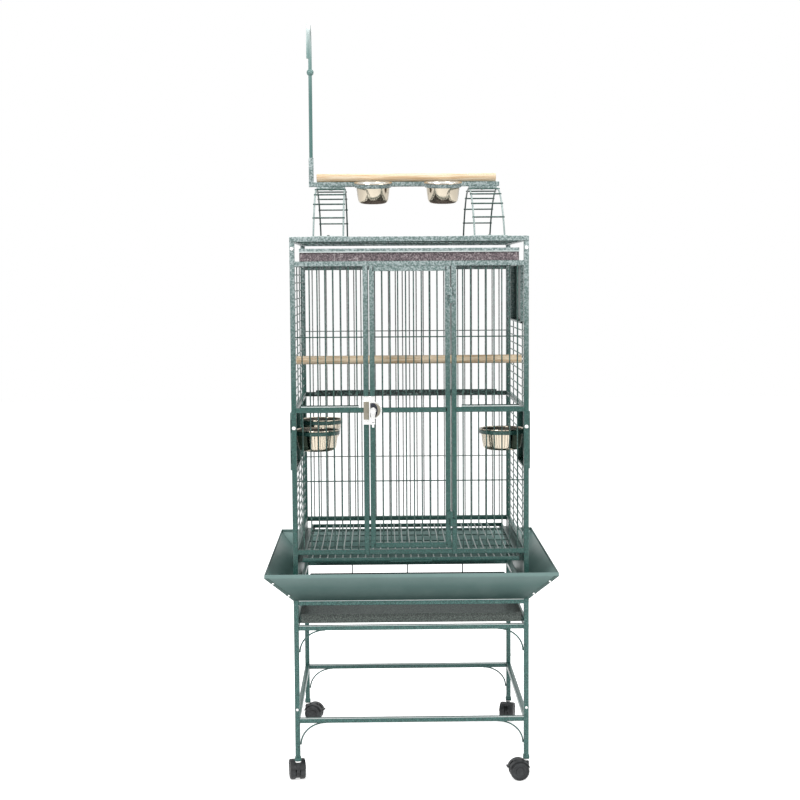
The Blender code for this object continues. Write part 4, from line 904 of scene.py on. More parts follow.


# The stand's tubes are all in the paler coat that paints the lamp light they catch.
@dataclass
class Stand:
    """The stand under the cage: two side frames, their rails and the braces."""

    brace: float = 0.004
    brace_run: float = 0.066
    brace_drop: float = 0.058
    runner_in: float = 0.022
    runner_lift: float = 0.0068
    runner_thick: float = 0.002
    runner_web: float = 0.003
    leg_bolt: float = 0.192
    stop_spacing: float = 0.163
    socket_flare: float = 0.0018
    socket_height: float = 0.010
    brace_steps: int = 14

    def build(self) -> None:
        """Builds every piece of the stand."""
        for side in Side:
            self.side_frame(side)
        self.rail("stand_front_top_rail", CAGE.stand_top - CAGE.half, CAGE.front, False)
        self.rail("stand_front_tray_rail", CAGE.tray_rail, CAGE.front, True)
        self.rail("stand_front_shelf_rail", CAGE.shelf_rail, CAGE.front, True)
        self.rail("stand_rear_shelf_rail", CAGE.shelf_rail, CAGE.back - CAGE.tube, True)
        self.rear_gate()

    def side_frame(self, side: Side) -> None:
        """Builds the legs, the rails and the tray runner of one side.

        Args:
            side: The side.
        """
        node = f"stand_{side.word}_frame"
        piece = Piece(node + "_tubes")
        outer = side.value * CAGE.right
        inner = outer - side.value * CAGE.tube
        low_x = min(outer, inner)
        for low_y in (CAGE.front, CAGE.back - CAGE.tube):
            piece.add(upright_tube(low_x, low_y, CAGE.leg_bottom, CAGE.stand_top), LIT_STAND_PAINT)
            self.socket(piece, (low_x + CAGE.half, low_y + CAGE.half))
        for level in (CAGE.shelf_rail, CAGE.tray_rail, CAGE.stand_top - CAGE.half):
            piece.add(deep_tube(low_x, CAGE.front + CAGE.half, CAGE.back - CAGE.half, level),
                      LIT_STAND_PAINT)
        top = CAGE.tray_rail + CAGE.half + self.runner_lift
        web = sorted((inner, inner + side.value * self.runner_web))
        reach = sorted((web[0] if side is Side.LEFT else web[1],
                        inner - side.value * self.runner_in))
        for ends, low_z in ((web, CAGE.tray_rail), (reach, top - self.runner_thick)):
            piece.add(boxed((ends[0], CAGE.front + CAGE.tube, low_z),
                            (ends[1], CAGE.back - CAGE.tube, top), 0.0004), LIT_STAND_PAINT)
        bolt_x = outer + side.value * 0.0001
        for y in (CAGE.front + CAGE.half, CAGE.back - CAGE.half):
            for level in (self.leg_bolt, CAGE.tray_rail, CAGE.stand_top - CAGE.half):
                piece.add(domed_bolt((bolt_x, y, level), (side.value, 0, 0), 0.0075), ZINC)
        for y, facing in ((CAGE.front, -1), (CAGE.back, 1)):
            piece.add(domed_bolt((low_x + CAGE.half, y, self.leg_bolt), (0, facing, 0), 0.0075),
                      ZINC)
        piece.done(node)

    def socket(self, piece: Piece, middle: Pair) -> None:
        """Adds the flared foot of a leg, which holds the caster's stem.

        Args:
            piece: The frame that takes it.
            middle: The x and y of the leg's middle.
        """
        reach = CAGE.half + self.socket_flare
        piece.add(boxed((middle[0] - reach, middle[1] - reach, CAGE.leg_bottom),
                        (middle[0] + reach, middle[1] + reach,
                         CAGE.leg_bottom + self.socket_height), 0.0016), LIT_STAND_PAINT)

    def brace_path(self, side: Side, level: float, y: float) -> list[Vector]:
        """Gives the line of one corner brace, from the leg up to the rail.

        Args:
            side: The end of the rail.
            level: The height of the rail's middle.
            y: How deep the brace lies.

        Returns:
            The points of the line.
        """
        start_x = side.value * (CAGE.right - CAGE.tube - self.brace / 2)
        points = []
        for step in range(self.brace_steps + 1):
            angle = math.pi / 2 * step / self.brace_steps
            points.append(Vector((start_x - side.value * self.brace_run * (1 - math.cos(angle)), y,
                                  level - CAGE.half - self.brace_drop * (1 - math.sin(angle)))))
        return points

    def rail(self, node: str, level: float, low_y: float, braced: bool) -> None:
        """Builds a rail from side to side, with its two corner braces.

        Args:
            node: The solid that it stands for.
            level: The height of its middle.
            low_y: Its front face.
            braced: Whether it has the braces.
        """
        piece = Piece(node + "_tube")
        inner = CAGE.right - CAGE.tube - CAGE.fit
        piece.add(level_tube(-inner, inner, low_y, level), LIT_STAND_PAINT)
        # A pale strip paints the highlight along the rail's top face.
        piece.add(boxed((-inner, low_y - 0.0002, level + CAGE.half - 0.0016),
                        (inner, low_y + 0.0020, level + CAGE.half + 0.0002), 0.0004), HIGHLIGHT_PAINT)
        if braced:
            for side in Side:
                path = self.brace_path(side, level, low_y + CAGE.half)
                piece.add(bent_rod(path, self.brace), LIT_STAND_PAINT)
        piece.done(node)

    def rear_gate(self) -> None:
        """Builds the two rear rails with their stop wires and braces."""
        piece = Piece("rear_tray_gate_tubes")
        inner = CAGE.right - CAGE.tube - CAGE.fit
        low_y = CAGE.back - CAGE.tube
        for level in (CAGE.tray_rail, CAGE.stand_top - CAGE.half):
            piece.add(level_tube(-inner, inner, low_y, level), LIT_STAND_PAINT)
        for x in (-self.stop_spacing, 0.0, self.stop_spacing):
            piece.add(rod((x, low_y + CAGE.half, CAGE.tray_rail),
                          (x, low_y + CAGE.half, CAGE.stand_top - CAGE.half), CAGE.bar))
        for side in Side:
            path = self.brace_path(side, CAGE.tray_rail, low_y + CAGE.half)
            piece.add(bent_rod(path, self.brace), LIT_STAND_PAINT)
        piece.done("rear_tray_gate")


@dataclass
class Walls:
    """The cage's fixed walls and its roof, of tube with bars and wires."""

    field_bars: int = 8
    bar_pitch: float = 0.0200
    rear_bars: int = 28
    roof_wires: int = 28
    skirt: float = 0.095
    runner_in: float = 0.022
    strip_in: float = 0.016
    rear_strip_in: float = 0.028

    def build(self) -> None:
        """Builds every wall."""
        near, far = CAGE.side_front + CAGE.strip, CAGE.front + CAGE.second_feeder
        for side in Side:
            self.front_field(side)
        self.doorway_rails()
        self.rear_wall()
        self.side_wall(Side.LEFT, (near, far), False)
        self.side_wall(Side.RIGHT, (near,), True)
        self.roof()

    def front_field(self, side: Side) -> None:
        """Builds the fixed field on one side of the door, with its corner post.

        Args:
            side: The side of the door.
        """
        sign = side.value
        node = f"front_{side.word}_panel"
        piece = Piece(node + "_tubes")
        post = sorted((sign * CAGE.right, sign * (CAGE.right - CAGE.tube)))
        jamb = sorted((sign * CAGE.doorway / 2, sign * (CAGE.doorway / 2 + CAGE.stile)))
        piece.add(upright_tube(post[0], CAGE.front, CAGE.stand_top + CAGE.fit, CAGE.post_top))
        piece.add(upright_tube(jamb[0], CAGE.front, CAGE.base_rail - CAGE.half,
                               CAGE.head_rail + CAGE.half))
        low = post[1] if sign < 0 else jamb[1]
        high = jamb[0] if sign < 0 else post[0]
        ends = (low - CAGE.rail_lap, high + CAGE.rail_lap)
        for level in (CAGE.base_rail, CAGE.belly_rail, CAGE.head_rail):
            piece.add(level_tube(*ends, CAGE.front, level))
        y = CAGE.front + CAGE.half
        half_row = self.bar_pitch * (self.field_bars + 1) / 2
        middle = (low + high) / 2
        for x in spread(middle - half_row, middle + half_row, self.field_bars):
            piece.add(rod((x, y, CAGE.base_rail), (x, y, CAGE.head_rail), CAGE.bar), WIRE_PAINT)
        cross_wires(piece, ends, y + CAGE.crossing, CAGE.head_rail, WIRE_PAINT)
        self.belly_strip(piece, (middle - half_row + self.strip_in,
                                 middle + half_row - self.strip_in))
        for level in CAGE.post_bolts:
            piece.add(domed_bolt((sign * (CAGE.right - CAGE.half), CAGE.front, level),
                                 (0, -1, 0), 0.0105), ZINC)
        if side is Side.RIGHT:
            self.hinge_lugs(piece)
        piece.done(node)

    def belly_strip(self, piece: Piece, ends: Pair) -> None:
        """Adds the thin wire over a middle rail in the shaded coat, and under it a strip of sheet
        in the pale coat that paints the highlight of its lit edge.

        Args:
            piece: The wall that takes them.
            ends: The x of both ends.
        """
        low, high = CAGE.belly_top - 0.0005, CAGE.belly_top + 0.0054
        y = CAGE.front + 0.0022
        piece.add(boxed((ends[0], y - 0.0004, low), (ends[1], y + 0.0016, low + 0.0020), 0.0004))
        piece.add(boxed((ends[0], y, low), (ends[1], y + 0.0012, high - 0.0012), 0.0004),
                  HIGHLIGHT_PAINT)
        piece.add(rod((ends[0], y + 0.0006, high), (ends[1], y + 0.0006, high), 0.0032),
                  SHADE_PAINT)

    def hinge_lugs(self, piece: Piece) -> None:
        """Adds the fixed halves of the two door hinges.

        Args:
            piece: The wall that takes them.
        """
        x, y = Door.hinge_place()
        for bottom in Door.knuckle_bottoms():
            low = bottom - Door.knuckle_length
            piece.add(rod((x, y, low), (x, y, bottom - CAGE.fit), Door.knuckle, 24))
            piece.add(rod((x, y, low + 0.010), (x, y, bottom + Door.knuckle_length + 0.0003),
                          0.005, 16), ZINC)
            piece.add(boxed((x + 0.0003, y - 0.0032, low + 0.0006),
                            (CAGE.doorway / 2 + CAGE.stile * 0.8, CAGE.front + 0.003,
                             bottom - 0.0009), 0.0008))

    def doorway_rails(self) -> None:
        """Builds the rails over and under the door."""
        reach = CAGE.doorway / 2 - CAGE.fit
        for node, level in (("doorway_head_rail", CAGE.head_rail),
                            ("doorway_sill_rail", CAGE.base_rail)):
            piece = Piece(node + "_tube")
            piece.add(level_tube(-reach, reach, CAGE.front, level))
            piece.done(node)

    def rear_wall(self) -> None:
        """Builds the back wall with its posts."""
        piece = Piece("rear_panel_tubes")
        low_y, y = CAGE.back - CAGE.tube, CAGE.back - CAGE.half
        inner = CAGE.right - CAGE.tube
        for low_x in (-CAGE.right, inner):
            piece.add(upright_tube(low_x, low_y, CAGE.stand_top + CAGE.fit, CAGE.post_top))
            for level in CAGE.post_bolts:
                piece.add(domed_bolt((low_x + CAGE.half, CAGE.back, level), (0, 1, 0), 0.008), ZINC)
        ends = (-inner - CAGE.rail_lap, inner + CAGE.rail_lap)
        for level, paint in ((CAGE.base_rail, PAINT), (CAGE.belly_rail, SHADE_PAINT),
                             (CAGE.rear_head_rail, PAINT)):
            piece.add(level_tube(*ends, low_y, level), paint)
        strip = inner - self.rear_strip_in
        piece.add(boxed((-strip, low_y + 0.001, CAGE.belly_top - 0.0005),
                        (strip, low_y + 0.0022, CAGE.belly_top + 0.0054), 0.0004), SHADE_PAINT)
        # The back wall's wires are in the pale coat that paints how the light shows them.
        for x in spread(-inner, inner, self.rear_bars):
            piece.add(rod((x, y, CAGE.base_rail), (x, y, CAGE.rear_head_rail), CAGE.bar),
                      LIT_FAR_WIRE_PAINT)
        cross_wires(piece, ends, y - CAGE.crossing, CAGE.rear_head_rail, LIT_FAR_WIRE_PAINT)
        piece.done("rear_panel")

    def side_wall(self, side: Side, feeders: tuple[float, ...], nest: bool) -> None:
        """Builds a side wall with its framed openings.

        Args:
            side: Which wall.
            feeders: The front edge of each feeder opening.
            nest: Whether the wall has the nest box opening.
        """
        sign = side.value
        node = side.word + "_side_panel"
        piece = Piece(node + "_tubes")
        outer, inner = sign * CAGE.right, sign * (CAGE.right - CAGE.tube)
        low_x, high_x = min(outer, inner), max(outer, inner)
        windows = [(start, start + CAGE.feeder_opening, CAGE.feeder_sill, CAGE.belly_rail)
                   for start in feeders]
        if nest:
            start = CAGE.front + CAGE.nest_front
            windows.append((start, start + CAGE.nest_width, CAGE.nest_sill, CAGE.head_rail))
        for level in (CAGE.base_rail, CAGE.belly_rail, CAGE.head_rail):
            piece.add(deep_tube(low_x, CAGE.side_front, CAGE.side_back, level))
        for low_y in (CAGE.side_front, CAGE.side_back - CAGE.strip):
            piece.add(boxed((low_x, low_y, CAGE.base_rail),
                            (high_x, low_y + CAGE.strip, CAGE.head_rail), 0.0006, 2))
        for start, end, sill, head in windows:
            half = CAGE.strip / 2
            piece.add(boxed((low_x, start - CAGE.strip, sill - half),
                            (high_x, end + CAGE.strip, sill + half), 0.0006, 1))
            for low_y in (start - CAGE.strip, end):
                piece.add(boxed((low_x, low_y, sill - half), (high_x, low_y + CAGE.strip, head),
                                0.0006, 2))
        self.side_wires(piece, sign, windows)
        self.side_sheet(piece, sign)
        piece.done(node)

    def side_wires(self, piece: Piece, sign: int,
                   windows: list[tuple[float, float, float, float]]) -> None:
        """Adds the level wires and the upright wires of a side wall.

        Args:
            piece: The wall that takes them.
            sign: The side, as a sign along X.
            windows: The near edge, far edge, sill and head of each opening.
        """
        wall_x = sign * (CAGE.right - CAGE.half)
        rows = (spread(CAGE.base_top, CAGE.belly_bottom, CAGE.side_rows - 1)
                + spread(CAGE.belly_top, CAGE.head_bottom, CAGE.side_rows - 1))
        low, high = CAGE.side_front + CAGE.strip / 2, CAGE.side_back - CAGE.strip / 2
        # The level wires face the lamp and are painted paler as their highlight; the upright ones
        # are not.
        for level in rows:
            gaps = [(start - CAGE.strip / 2, end + CAGE.strip / 2)
                    for start, end, sill, head in windows if sill - CAGE.strip / 2 < level < head]
            for begin, finish in self.runs(low, high, gaps):
                piece.add(rod((wall_x, begin, level), (wall_x, finish, level), CAGE.bar),
                          LAMP_LIT_WIRE_PAINT)
        column_x = wall_x + sign * CAGE.crossing
        for y in spread(CAGE.front + CAGE.tube, CAGE.back - CAGE.tube, 3):
            for bottom, top in ((CAGE.base_rail, CAGE.belly_rail),
                                (CAGE.belly_rail, CAGE.head_rail)):
                gaps = [(sill, head) for start, end, sill, head in windows
                        if start - CAGE.strip - CAGE.bar < y < end + CAGE.strip + CAGE.bar
                        and bottom < sill < top]
                for begin, finish in self.runs(bottom, top, gaps):
                    piece.add(rod((column_x, y, begin), (column_x, y, finish), CAGE.wire),
                              WIRE_PAINT)

    def runs(self, low: float, high: float, gaps: list[Pair]) -> list[Pair]:
        """Gives the stretches that are left between the gaps.

        Args:
            low: The near end of the whole run.
            high: Its far end.
            gaps: The ends of each gap.

        Returns:
            The ends of each stretch.
        """
        stretches = []
        start = low
        for gap_low, gap_high in sorted(gaps):
            if gap_low > start + CAGE.bar:
                stretches.append((start, gap_low))
            start = max(start, gap_high)
        if high > start + CAGE.bar:
            stretches.append((start, high))
        return stretches

    def side_sheet(self, piece: Piece, sign: int) -> None:
        """Adds the skirt that carries the grate, and the ledge that carries the top tray.

        Args:
            piece: The wall that takes them.
            sign: The side, as a sign along X.
        """
        web = sign * (CAGE.right - CAGE.tube)
        ends = sorted((web, web + sign * 0.002))
        piece.add(boxed((ends[0], CAGE.side_front, CAGE.base_rail - self.skirt),
                        (ends[1], CAGE.side_back, CAGE.base_rail), 0.0005), SHEET_PAINT)
        grate_ledge = CAGE.grate_top - CAGE.grate_thick - CAGE.fit
        for top in (grate_ledge, CAGE.head_rail + CAGE.half):
            reach = sorted((web + sign * 0.002, web - sign * self.runner_in))
            piece.add(boxed((reach[0], CAGE.side_front, top - 0.002),
                            (reach[1], CAGE.side_back, top), 0.0005))

    def roof(self) -> None:
        """Builds the wired roof."""
        piece = Piece("roof_panel_tubes")
        z = CAGE.roof_top - CAGE.half
        for low_y in (CAGE.front, CAGE.back - CAGE.tube):
            piece.add(level_tube(-CAGE.right, CAGE.right, low_y, z))
        for low_x in (-CAGE.right, CAGE.right - CAGE.tube):
            piece.add(deep_tube(low_x, CAGE.front + 0.002, CAGE.back - 0.002, z))
        for x in spread(-CAGE.right + CAGE.tube, CAGE.right - CAGE.tube, self.roof_wires):
            piece.add(rod((x, CAGE.front + CAGE.half, z), (x, CAGE.back - CAGE.half, z), CAGE.bar),
                      WIRE_PAINT)
        for y in spread(CAGE.front + CAGE.tube, CAGE.back - CAGE.tube, 2):
            level = z - CAGE.crossing
            piece.add(rod((-CAGE.right + CAGE.half, y, level), (CAGE.right - CAGE.half, y, level),
                          CAGE.wire), WIRE_PAINT)
        piece.done("roof_panel")


@dataclass
class Door:
    """The front door with its hinges, its lock plate, the lever and the keeper."""

    bars: int = 8
    rail_in: float = 0.009
    hinge_in: float = 0.075
    hinge_out: float = 0.0045
    knuckle: float = 0.0085
    knuckle_length: float = 0.020
    keeper_height: float = 0.073
    keeper_thick: float = 0.0035
    lock_in: float = 0.0078
    disc_radius: float = 0.023
    disc_thick: float = 0.004
    boss_out: float = 0.006
    lever_length: float = 0.0405

    @classmethod
    def hinge_place(cls) -> Pair:
        """Gives x and y of the hinge's axis."""
        return CAGE.doorway / 2 - CAGE.door_gap / 2, CAGE.front - cls.hinge_out

    @classmethod
    def knuckle_bottoms(cls) -> Pair:
        """Gives the low end of the door's two knuckles."""
        return (CAGE.base_top + CAGE.door_lift + cls.hinge_in,
                CAGE.head_bottom - CAGE.fit - cls.hinge_in)

    @property
    def left(self) -> float:
        """The door's left edge."""
        return -CAGE.doorway / 2 + CAGE.door_gap

    def build(self) -> None:
        """Builds the door and its lock."""
        self.leaf()
        self.lock_plate()
        self.lever()
        self.keeper()

    def leaf(self) -> None:
        """Builds the barred leaf."""
        piece = Piece("front_door_tubes")
        low, high = self.left, CAGE.doorway / 2 - CAGE.door_gap
        bottom, top = CAGE.base_top + CAGE.door_lift, CAGE.head_bottom - CAGE.fit
        ends = (low + self.rail_in, high - self.rail_in)
        for low_x in (low, high - CAGE.stile):
            piece.add(upright_tube(low_x, CAGE.front, bottom, top))
        for level in (bottom + CAGE.half, CAGE.belly_rail, top - CAGE.half):
            piece.add(level_tube(*ends, CAGE.front, level))
        y = CAGE.front + CAGE.half
        for x in spread(low + CAGE.stile, high - CAGE.stile, self.bars):
            piece.add(rod((x, y, bottom + CAGE.half), (x, y, top - CAGE.half), CAGE.bar),
                      WIRE_PAINT)
        cross_wires(piece, ends, y + CAGE.crossing, CAGE.head_rail, WIRE_PAINT)
        x, y = self.hinge_place()
        for low_z in self.knuckle_bottoms():
            piece.add(rod((x, y, low_z), (x, y, low_z + self.knuckle_length), self.knuckle, 24))
            piece.add(boxed((high - CAGE.stile * 0.8, y - 0.0032, low_z + 0.0006),
                            (x, CAGE.front + 0.002, low_z + self.knuckle_length - 0.0006),
                            0.0008))
        piece.done("front_door", "door")

    def hub(self) -> Pair:
        """Gives x and z of the lever's axis."""
        return self.left + self.lock_in, CAGE.belly_rail

    def lock_plate(self) -> None:
        """Builds the strap and the half round housing, with the well behind the lever painted black
        as shade.
        """
        piece = Piece("door_lock_housing")
        x, z = self.hub()
        back = CAGE.front - CAGE.fit
        face = back - self.disc_thick
        half = self.keeper_height / 2
        piece.add(boxed((self.left, back - self.keeper_thick, z - half),
                        (self.left + CAGE.stile, back, z + half), 0.0010), NICKEL)
        radius = self.disc_radius
        disc = revolved([(0.0, 0.0002), (radius, 0.0002), (radius, self.disc_thick - 0.0010),
                         (radius - 0.0005, self.disc_thick - 0.0003),
                         (radius - 0.0012, self.disc_thick), (radius - 0.0026, self.disc_thick),
                         (radius - 0.0034, self.disc_thick - 0.0007),
                         (0.0, self.disc_thick - 0.0007)], 56)
        piece.add(self.trimmed(aimed(disc, (x, back, z), TO_FRONT), CAGE.fit), NICKEL)
        satin = revolved([(0.0, 0.0), (radius - 0.0038, 0.0), (radius - 0.0040, 0.0003),
                          (0.0, 0.0003)], 56)
        aimed(satin, (x, face + 0.0008, z), TO_FRONT)
        piece.add(self.trimmed(satin, 0.0008), SATIN_STEEL)
        # The well is a tall oval of painted shade, which leaves the satin face as a crescent on the
        # right.
        well = revolved([(0.0, 0.0), (0.0190, 0.0), (0.0188, 0.0003), (0.0, 0.0003)], 56)
        bmesh.ops.scale(well, vec=(0.62, 1.0, 1.0), verts=well.verts)
        aimed(well, (x + 0.0002, face + 0.0006, z - 0.0004), TO_FRONT)
        piece.add(self.trimmed(well, 0.0010), SHADE_BLACK)
        boss = revolved([(0.0, 0.0), (0.0070, 0.0), (0.0068, self.boss_out - 0.0002),
                         (0.0, self.boss_out)], 32)
        piece.add(aimed(boss, (x, face, z), TO_FRONT), NICKEL)
        piece.done("door_lock_plate", "door")

    def trimmed(self, shape: Shape, inset: float) -> Shape:
        """Cuts away what a shape has left of a line set in from the door's edge."""
        return halved(shape, (self.left + inset, 0.0, 0.0), (-1.0, 0.0, 0.0))

    def lever(self) -> None:
        """Builds the cast drop lever, with the joint of its tip."""
        piece = Piece("door_lock_drop_lever")
        x, z = self.hub()
        back = CAGE.front - 2 * CAGE.fit - self.disc_thick - self.boss_out
        knob = revolved([(0.0, 0.0), (0.0078, 0.0), (0.0086, 0.0012), (0.0084, 0.0045),
                         (0.0066, 0.0064), (0.0, 0.0070)], 36)
        piece.add(aimed(knob, (x, back, z), TO_FRONT), NICKEL)
        tip = z - self.lever_length
        blade = extruded([(x - 0.0068, z - 0.003), (x + 0.0068, z - 0.003),
                          (x + 0.0047, z - 0.019), (x + 0.0036, z - 0.030),
                          (x + 0.0029, tip), (x + 0.0019, tip - 0.0029),
                          (x - 0.0019, tip - 0.0029), (x - 0.0029, tip),
                          (x - 0.0036, z - 0.030), (x - 0.0047, z - 0.019)],
                         "XZ", back - 0.0058, back - 0.0006)
        eased(blade, blade.edges[:], 0.0010, 3)
        piece.add(blade, NICKEL)
        # The joint's dark line is in the same black as the painted shade of the lock's well.
        piece.add(boxed((x - 0.0040, back - 0.0061, z - 0.0303), (x + 0.0040, back - 0.0004,
                                                                 z - 0.0291), 0.0003), SHADE_BLACK)
        piece.done("door_lock_lever", "lock_lever")

    def keeper(self) -> None:
        """Builds the plate on the fixed jamb, held by a bright clip at each end."""
        piece = Piece("lock_keeper_plate")
        x_low, x_high = -CAGE.doorway / 2 - CAGE.stile, -CAGE.doorway / 2 + CAGE.door_gap / 2
        z, half = CAGE.belly_rail, self.keeper_height / 2
        back = CAGE.front - CAGE.fit
        piece.add(boxed((x_low + 0.0003, back - self.keeper_thick + 0.0007, z - half + 0.001),
                        (x_high - 0.0003, back, z + half - 0.001), 0.0006), SATIN_STEEL)
        for low, high in ((z - half, z - half + 0.0130), (z + half - 0.0142, z + half)):
            piece.add(boxed((x_low, back - self.keeper_thick, low), (x_high, back, high),
                            0.0010, None, 3), NICKEL)
            piece.add(domed_bolt(((x_low + x_high) / 2, back - self.keeper_thick,
                                  (low + high) / 2), (0, -1, 0), 0.005), ZINC)
        piece.done("lock_keeper")


@dataclass(frozen=True)
class Bowl:
    """A stainless bowl and the ring that it hangs in, by their radii."""

    rim: float
    body: float
    foot: float
    depth: float = 0.056
    wall: float = 0.0009
    ring_height: float = 0.010

    def bowl(self) -> Shape:
        """Makes the spun bowl, with its rim at height zero.

        Returns:
            The shape.
        """
        rim, body, foot, depth, wall = self.rim, self.body, self.foot, self.depth, self.wall
        knee = body - (body - foot) * 0.35
        draft = body - knee
        outer = [(0.0, -depth + 0.0012), (foot * 0.80, -depth + 0.0010), (foot * 0.93, -depth),
                 (foot, -depth + 0.0004), (foot + (knee - foot) * 0.55, -depth * 0.955),
                 (knee - 0.0012, -depth * 0.88), (knee, -depth * 0.80),
                 (body - draft * 0.50, -depth * 0.50), (body - draft * 0.18, -depth * 0.22),
                 (body, -0.0032), (body + 0.0010, -0.0018), (rim - 0.0012, -0.0016),
                 (rim - 0.0002, -0.0026), (rim, -0.0014), (rim - 0.0006, -0.0002),
                 (rim - 0.0018, 0.0), (body + 0.0008, -0.0004)]
        inner = [(body - wall, -0.0022), (body - wall - draft * 0.22, -depth * 0.22),
                 (body - wall - draft * 0.54, -depth * 0.50), (knee - wall, -depth * 0.79),
                 (knee - wall - 0.0014, -depth * 0.87), (foot, -depth * 0.94),
                 (foot * 0.85, -depth + 0.0024), (0.0, -depth + 0.0024)]
        return revolved(outer + inner, 56)

    def lining(self) -> Shape:
        """Makes a skin inside the bowl, a hair proud of the spun wall, that takes the inside's own
        finish.

        Returns:
            The shape.
        """
        body, foot, depth = self.body - self.wall - 0.0002, self.foot, self.depth
        knee = self.body - (self.body - foot) * 0.35 - self.wall - 0.0002
        draft = body - knee
        skin = [(body, -0.0030), (body - draft * 0.22, -depth * 0.22),
                (body - draft * 0.54, -depth * 0.50), (knee, -depth * 0.785),
                (knee - 0.0014, -depth * 0.865), (foot - 0.0003, -depth * 0.933),
                (foot * 0.85, -depth + 0.0028), (0.0, -depth + 0.0028)]
        back = [(max(radius - 0.0003, 0.0), height + 0.0003) for radius, height in reversed(skin)]
        return revolved(skin + back, 56)

    def ring(self, reach: float) -> Shape:
        """Makes the ring of flat bar, with its arm along -X.

        Args:
            reach: How far the arm reaches from the ring's middle.

        Returns:
            The shape.
        """
        inner = self.body + 0.0006
        top = -0.0033
        low = top - self.ring_height
        hoop = revolved([(inner, low), (inner + 0.0026, low), (inner + 0.0030, low + 0.0006),
                         (inner + 0.0030, top - 0.0006), (inner + 0.0024, top), (inner, top)], 56)
        arm = boxed((-reach, -0.008, low), (-(inner + 0.001), 0.008, low + 0.008), 0.0008, 0)
        return poured(arm, hoop)


@dataclass
class Feeder:
    """A feeder door of folded sheet, with its ring, its bowl and its latch."""

    name: str
    side: Side
    front_edge: float
    flange: float = 0.004
    cup_in: float = 0.062
    cup_back: float = 0.085
    cup_level: float = 0.9165
    bowl: Bowl = Bowl(0.060, 0.056, 0.041)

    @property
    def wall(self) -> float:
        """The plane that the door closes on."""
        return CAGE.right + CAGE.fit

    def turned(self, shape: Shape) -> Shape:
        """Flips a shape made for the right wall over to this feeder's wall.

        Args:
            shape: The shape for the right wall.

        Returns:
            The same shape, on this feeder's wall.
        """
        if self.side is Side.LEFT:
            placed(shape, Matrix.Scale(-1, 4, (1, 0, 0)))
            bmesh.ops.reverse_faces(shape, faces=shape.faces)
        return shape

    def build(self) -> None:
        """Builds the door, the ring, the bowl and the latch."""
        node = self.name + "_feeder"
        low_y = self.front_edge - CAGE.hatch_lap
        width = CAGE.feeder_opening + 2 * CAGE.hatch_lap
        low_z = CAGE.feeder_sill - CAGE.strip / 2
        height = CAGE.belly_bottom - low_z
        door = Piece(node + "_door_sheet")
        door.add(self.turned(pressed_door(self.wall, low_y, low_z, width, height)), SHEET_PAINT)
        hinge = (self.wall + self.flange / 2, low_y + 0.0005)
        for start in (0.12, 0.66):
            door.add(self.turned(rod((hinge[0], hinge[1], low_z + height * start),
                                     (hinge[0], hinge[1], low_z + height * (start + 0.22)),
                                     0.0036, 14)))
        door.done(node + "_door", node)

        cup_x, cup_y = self.wall - self.cup_in, hinge[1] + self.cup_back
        place = Matrix.Translation((cup_x, cup_y, self.cup_level))
        about = Matrix.Rotation(math.pi, 4, "Z")
        ring = Piece(node + "_hoop")
        hoop = self.bowl.ring(self.cup_in + self.flange - 0.0015 - CAGE.fit)
        ring.add(self.turned(placed(hoop, place @ about)))
        ring.done(node + "_ring", node)

        bowl = Piece(node + "_bowl")
        # The lining's darker steel paints the shade inside the bowl.
        for shape, finish in ((self.bowl.bowl(), BOWL_STEEL), (self.bowl.lining(), SHADED_INSIDE_STEEL)):
            bowl.add(self.turned(placed(shape, place)), finish)
        bowl.done(node + "_cup", self.name + "_cup")

        latch = Piece(node + "_turn_button")
        face = self.wall + self.flange + CAGE.fit
        latch.add(self.turned(turn_button((face, low_y + width - 0.012, low_z + height / 2))),
                  NICKEL)
        latch.done(node + "_latch", self.name + "_latch")


def pressed_door(wall: float, low_y: float, low_z: float, width: float, height: float) -> Shape:
    """Makes a hatch door of sheet, folded back all round and open towards the cage.

    Args:
        wall: The x of the wall's face.
        low_y: The front edge.
        low_z: The lower edge.
        width: The size along Y.
        height: The size along Z.

    Returns:
        The closed shape of the folded sheet.
    """
    depth, sheet = 0.004, 0.0015
    shape = boxed((wall, low_y, low_z), (wall + depth, low_y + width, low_z + height))
    shape.normal_update()
    front = [face for face in shape.faces if face.normal.x < -0.5]
    rounded = [edge for edge in shape.edges if all(vert.co.x > wall + 0.001 for vert in edge.verts)]
    bmesh.ops.inset_individual(shape, faces=front, thickness=sheet)
    pushed = bmesh.ops.extrude_discrete_faces(shape, faces=front)
    bmesh.ops.translate(shape, vec=(depth - sheet, 0.0, 0.0),
                        verts=[vert for face in pushed["faces"] for vert in face.verts])
    eased(shape, [edge for edge in rounded if edge.is_valid], 0.0013, 3)
    bmesh.ops.recalc_face_normals(shape, faces=shape.faces)
    return shape


def turn_button(place: Point) -> Shape:
    """Makes a turn button with a domed hub and a rounded tongue, facing +X.

    Args:
        place: The middle of the hub's foot.

    Returns:
        The shape.
    """
    hub = revolved([(0.0, 0.0), (0.006, 0.0), (0.006, 0.0045), (0.0048, 0.0058), (0.0, 0.006)], 28)
    aimed(hub, place, Vector((1, 0, 0)))
    tongue = boxed((place[0], place[1], place[2] - 0.0036),
                   (place[0] + 0.003, place[1] + 0.024, place[2] + 0.0036), 0.0012, None, 3)
    return poured(tongue, hub)


